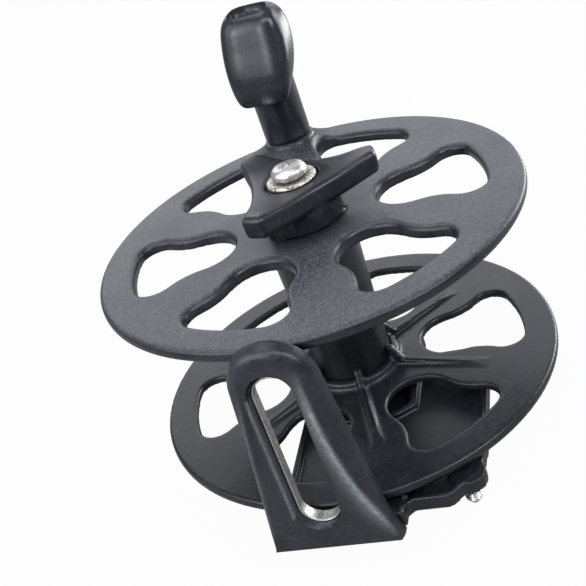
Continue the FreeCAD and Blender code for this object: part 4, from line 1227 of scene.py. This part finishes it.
# %% Mounting studs
stud_low, stud_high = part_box("mount_studs")
head_reach, stud_tip = 3.6, stud_low[2] * 1000
stud_x = stud_low[0] * 1000 + head_reach
stud_ys = (stud_low[1] * 1000 + head_reach, stud_high[1] * 1000 - head_reach)
parts = []
for side, stud_y in zip(("front", "back"), stud_ys):
    centre = (stud_x, stud_y)
    parts.append(threaded("stud_" + side, centre, 2.5, stud_tip, 0.2, tip=2.4))
    parts.append(
        turned(
            "stud_head_" + side,
            [
                (2.85, 0.0), (2.85, 1.3), (head_reach, 1.3), (head_reach, 2.9),
                (3.4, 3.1), (0.5, 3.1),
            ],
            centre=centre,
            count=40,
        )
    )
selected(*parts)
bpy.ops.object.join()
studs = parts[0]
studs.name = studs.data.name = "threaded_studs"
dressed(studs, stainless, "frame")
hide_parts("mount_studs")

# %% [markdown]
# The reel stands over a white floor, under a white sky. To the eye both are plain
# white, and glossy faces see a little of it. To all other light the floor is grey
# paper, so it keeps a faint shadow. The Light Path node tells the rays apart.


# %% White by kind of ray
def shown(network, to_the_eye, in_gloss):
    """How much of the plain white a ray meets: its share differs by kind of ray."""

    def ray(kind, share):
        return network.node("ShaderNodeLightPath", {}, {}, kind) * share

    eye = ray("Is Camera Ray", to_the_eye)
    gloss = ray("Is Glossy Ray", in_gloss)
    glass = ray("Is Transmission Ray", in_gloss)
    return eye.maths("MAXIMUM", eye.maths("MAXIMUM", eye, gloss), glass)


def whitened(tree, under, white, output, to_the_eye, in_gloss):
    """Lays plain white over a shader, and feeds both to the output node."""
    network = Network(tree)
    layers = {
        0: shown(network, to_the_eye, in_gloss),
        1: Wire(network, under.outputs[0]),
        2: network.node(white, {}, {"Color": (1, 1, 1, 1), "Strength": 1.0}),
    }
    mixed = network.node("ShaderNodeMixShader", {}, layers)
    tree.links.new(mixed.socket, tree.nodes[output].inputs["Surface"])
    print(len(tree.nodes), "nodes with the white")


print("Plain white can be laid over a floor or a sky")

# %% [markdown]
# The floor lies just under the studs. The sky is dim and a little blue.

# %% Floor and sky
stud_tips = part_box("mount_studs")[0][2]
bpy.ops.mesh.primitive_plane_add(size=6.0, location=(0, 0, stud_tips - 0.0005))
floor = bpy.context.active_object
floor.name = "floor"
paper = bpy.data.materials.new("paper")
paper.use_nodes = True
sheet = paper.node_tree.nodes["Principled BSDF"]
sheet.inputs["Base Color"].default_value = (0.35, 0.35, 0.35, 1)
sheet.inputs["Roughness"].default_value = 0.9
whitened(paper.node_tree, sheet, "ShaderNodeEmission", "Material Output", 0.97, 0.10)
floor.data.materials.append(paper)
world = bpy.data.worlds.new("studio")
bpy.context.scene.world = world
world.use_nodes = True
back = world.node_tree.nodes["Background"]
back.inputs["Color"].default_value = (0.88, 0.93, 1.0, 1)
back.inputs["Strength"].default_value = 0.22
whitened(world.node_tree, back, "ShaderNodeBackground", "World Output", 1.0, 0.12)

# %% [markdown]
# Black plastic shows its form by what it reflects, so each lamp is a soft panel
# where some face looks. The wide one at the back lies in the tops of the flanges.
# Two narrow windows and a dim fill at the front left make the sheen on the grip,
# and a low card lights its right side. The others fill in, and the one overhead
# gives the shadow.


# %% Lights
def panel(name, turn, rise, away, size, glow, colour=(1, 1, 1), aim=(0, 0, 0.05)):
    """A soft panel that faces the reel: its bearing, height angle and distance."""
    turn, rise = math.radians(turn), math.radians(rise)
    aim = Vector(aim)
    level = math.cos(rise)
    place = aim + away * Vector(
        (math.cos(turn) * level, math.sin(turn) * level, math.sin(rise))
    )
    light = bpy.data.lights.new(name, "AREA")
    light.shape = "RECTANGLE"
    light.size, light.size_y = size
    light.energy = glow * math.pi * size[0] * size[1]
    light.color = colour
    lamp = bpy.data.objects.new(name, light)
    bpy.context.scene.collection.objects.link(lamp)
    lamp.location = place
    lamp.rotation_euler = (aim - place).to_track_quat("-Z", "Y").to_euler()
    print(name, round(light.energy, 2), "W")


cool, blue = (0.91, 0.95, 1.0), (0.74, 0.78, 1.0)
panel("back_wall", 100, 25, 1.0, (1.3, 0.50), 1.55, cool)
panel("right_wall", 40, 18, 1.0, (0.55, 0.5), 4.5, cool)
panel("left_window", -136, 30, 0.8, (0.10, 0.26), 9.0, cool)
panel("right_window", -108, 30, 0.8, (0.09, 0.24), 9.0, cool)
panel("front_right", -24, 40, 0.9, (0.34, 0.34), 7.0, cool)
panel("front_fill", -132, 36, 1.0, (1.4, 0.75), 1.75, cool)
panel("front_top", -65, 58, 0.9, (0.6, 0.22), 6.0, blue)
panel("overhead", 150, 78, 0.9, (0.5, 0.5), 2.2)
panel("low_card", 50, -9, 0.45, (0.34, 0.14), 8.0, aim=(0, 0.05, 0.1))

# %% [markdown]
# The camera looks down at the reel from its front right, from about a third of
# a metre away. It is rolled, so the spindle leans about 20 degrees to the left.

# %% Camera
eye = bpy.data.cameras.new("eye")
eye.lens = 64.31
eye.sensor_width = 36.0
eye.clip_start = 0.01
camera = bpy.data.objects.new("eye", eye)
bpy.context.scene.collection.objects.link(camera)
camera.location = (0.0863051, -0.2656198, 0.1981281)
camera.rotation_euler = tuple(math.radians(a) for a in (58.96478, 17.73816, 9.88505))
bpy.context.scene.camera = camera
bpy.context.scene.view_settings.view_transform = "Standard"
print("Camera to spindle, m:", round(camera.location.length, 3))
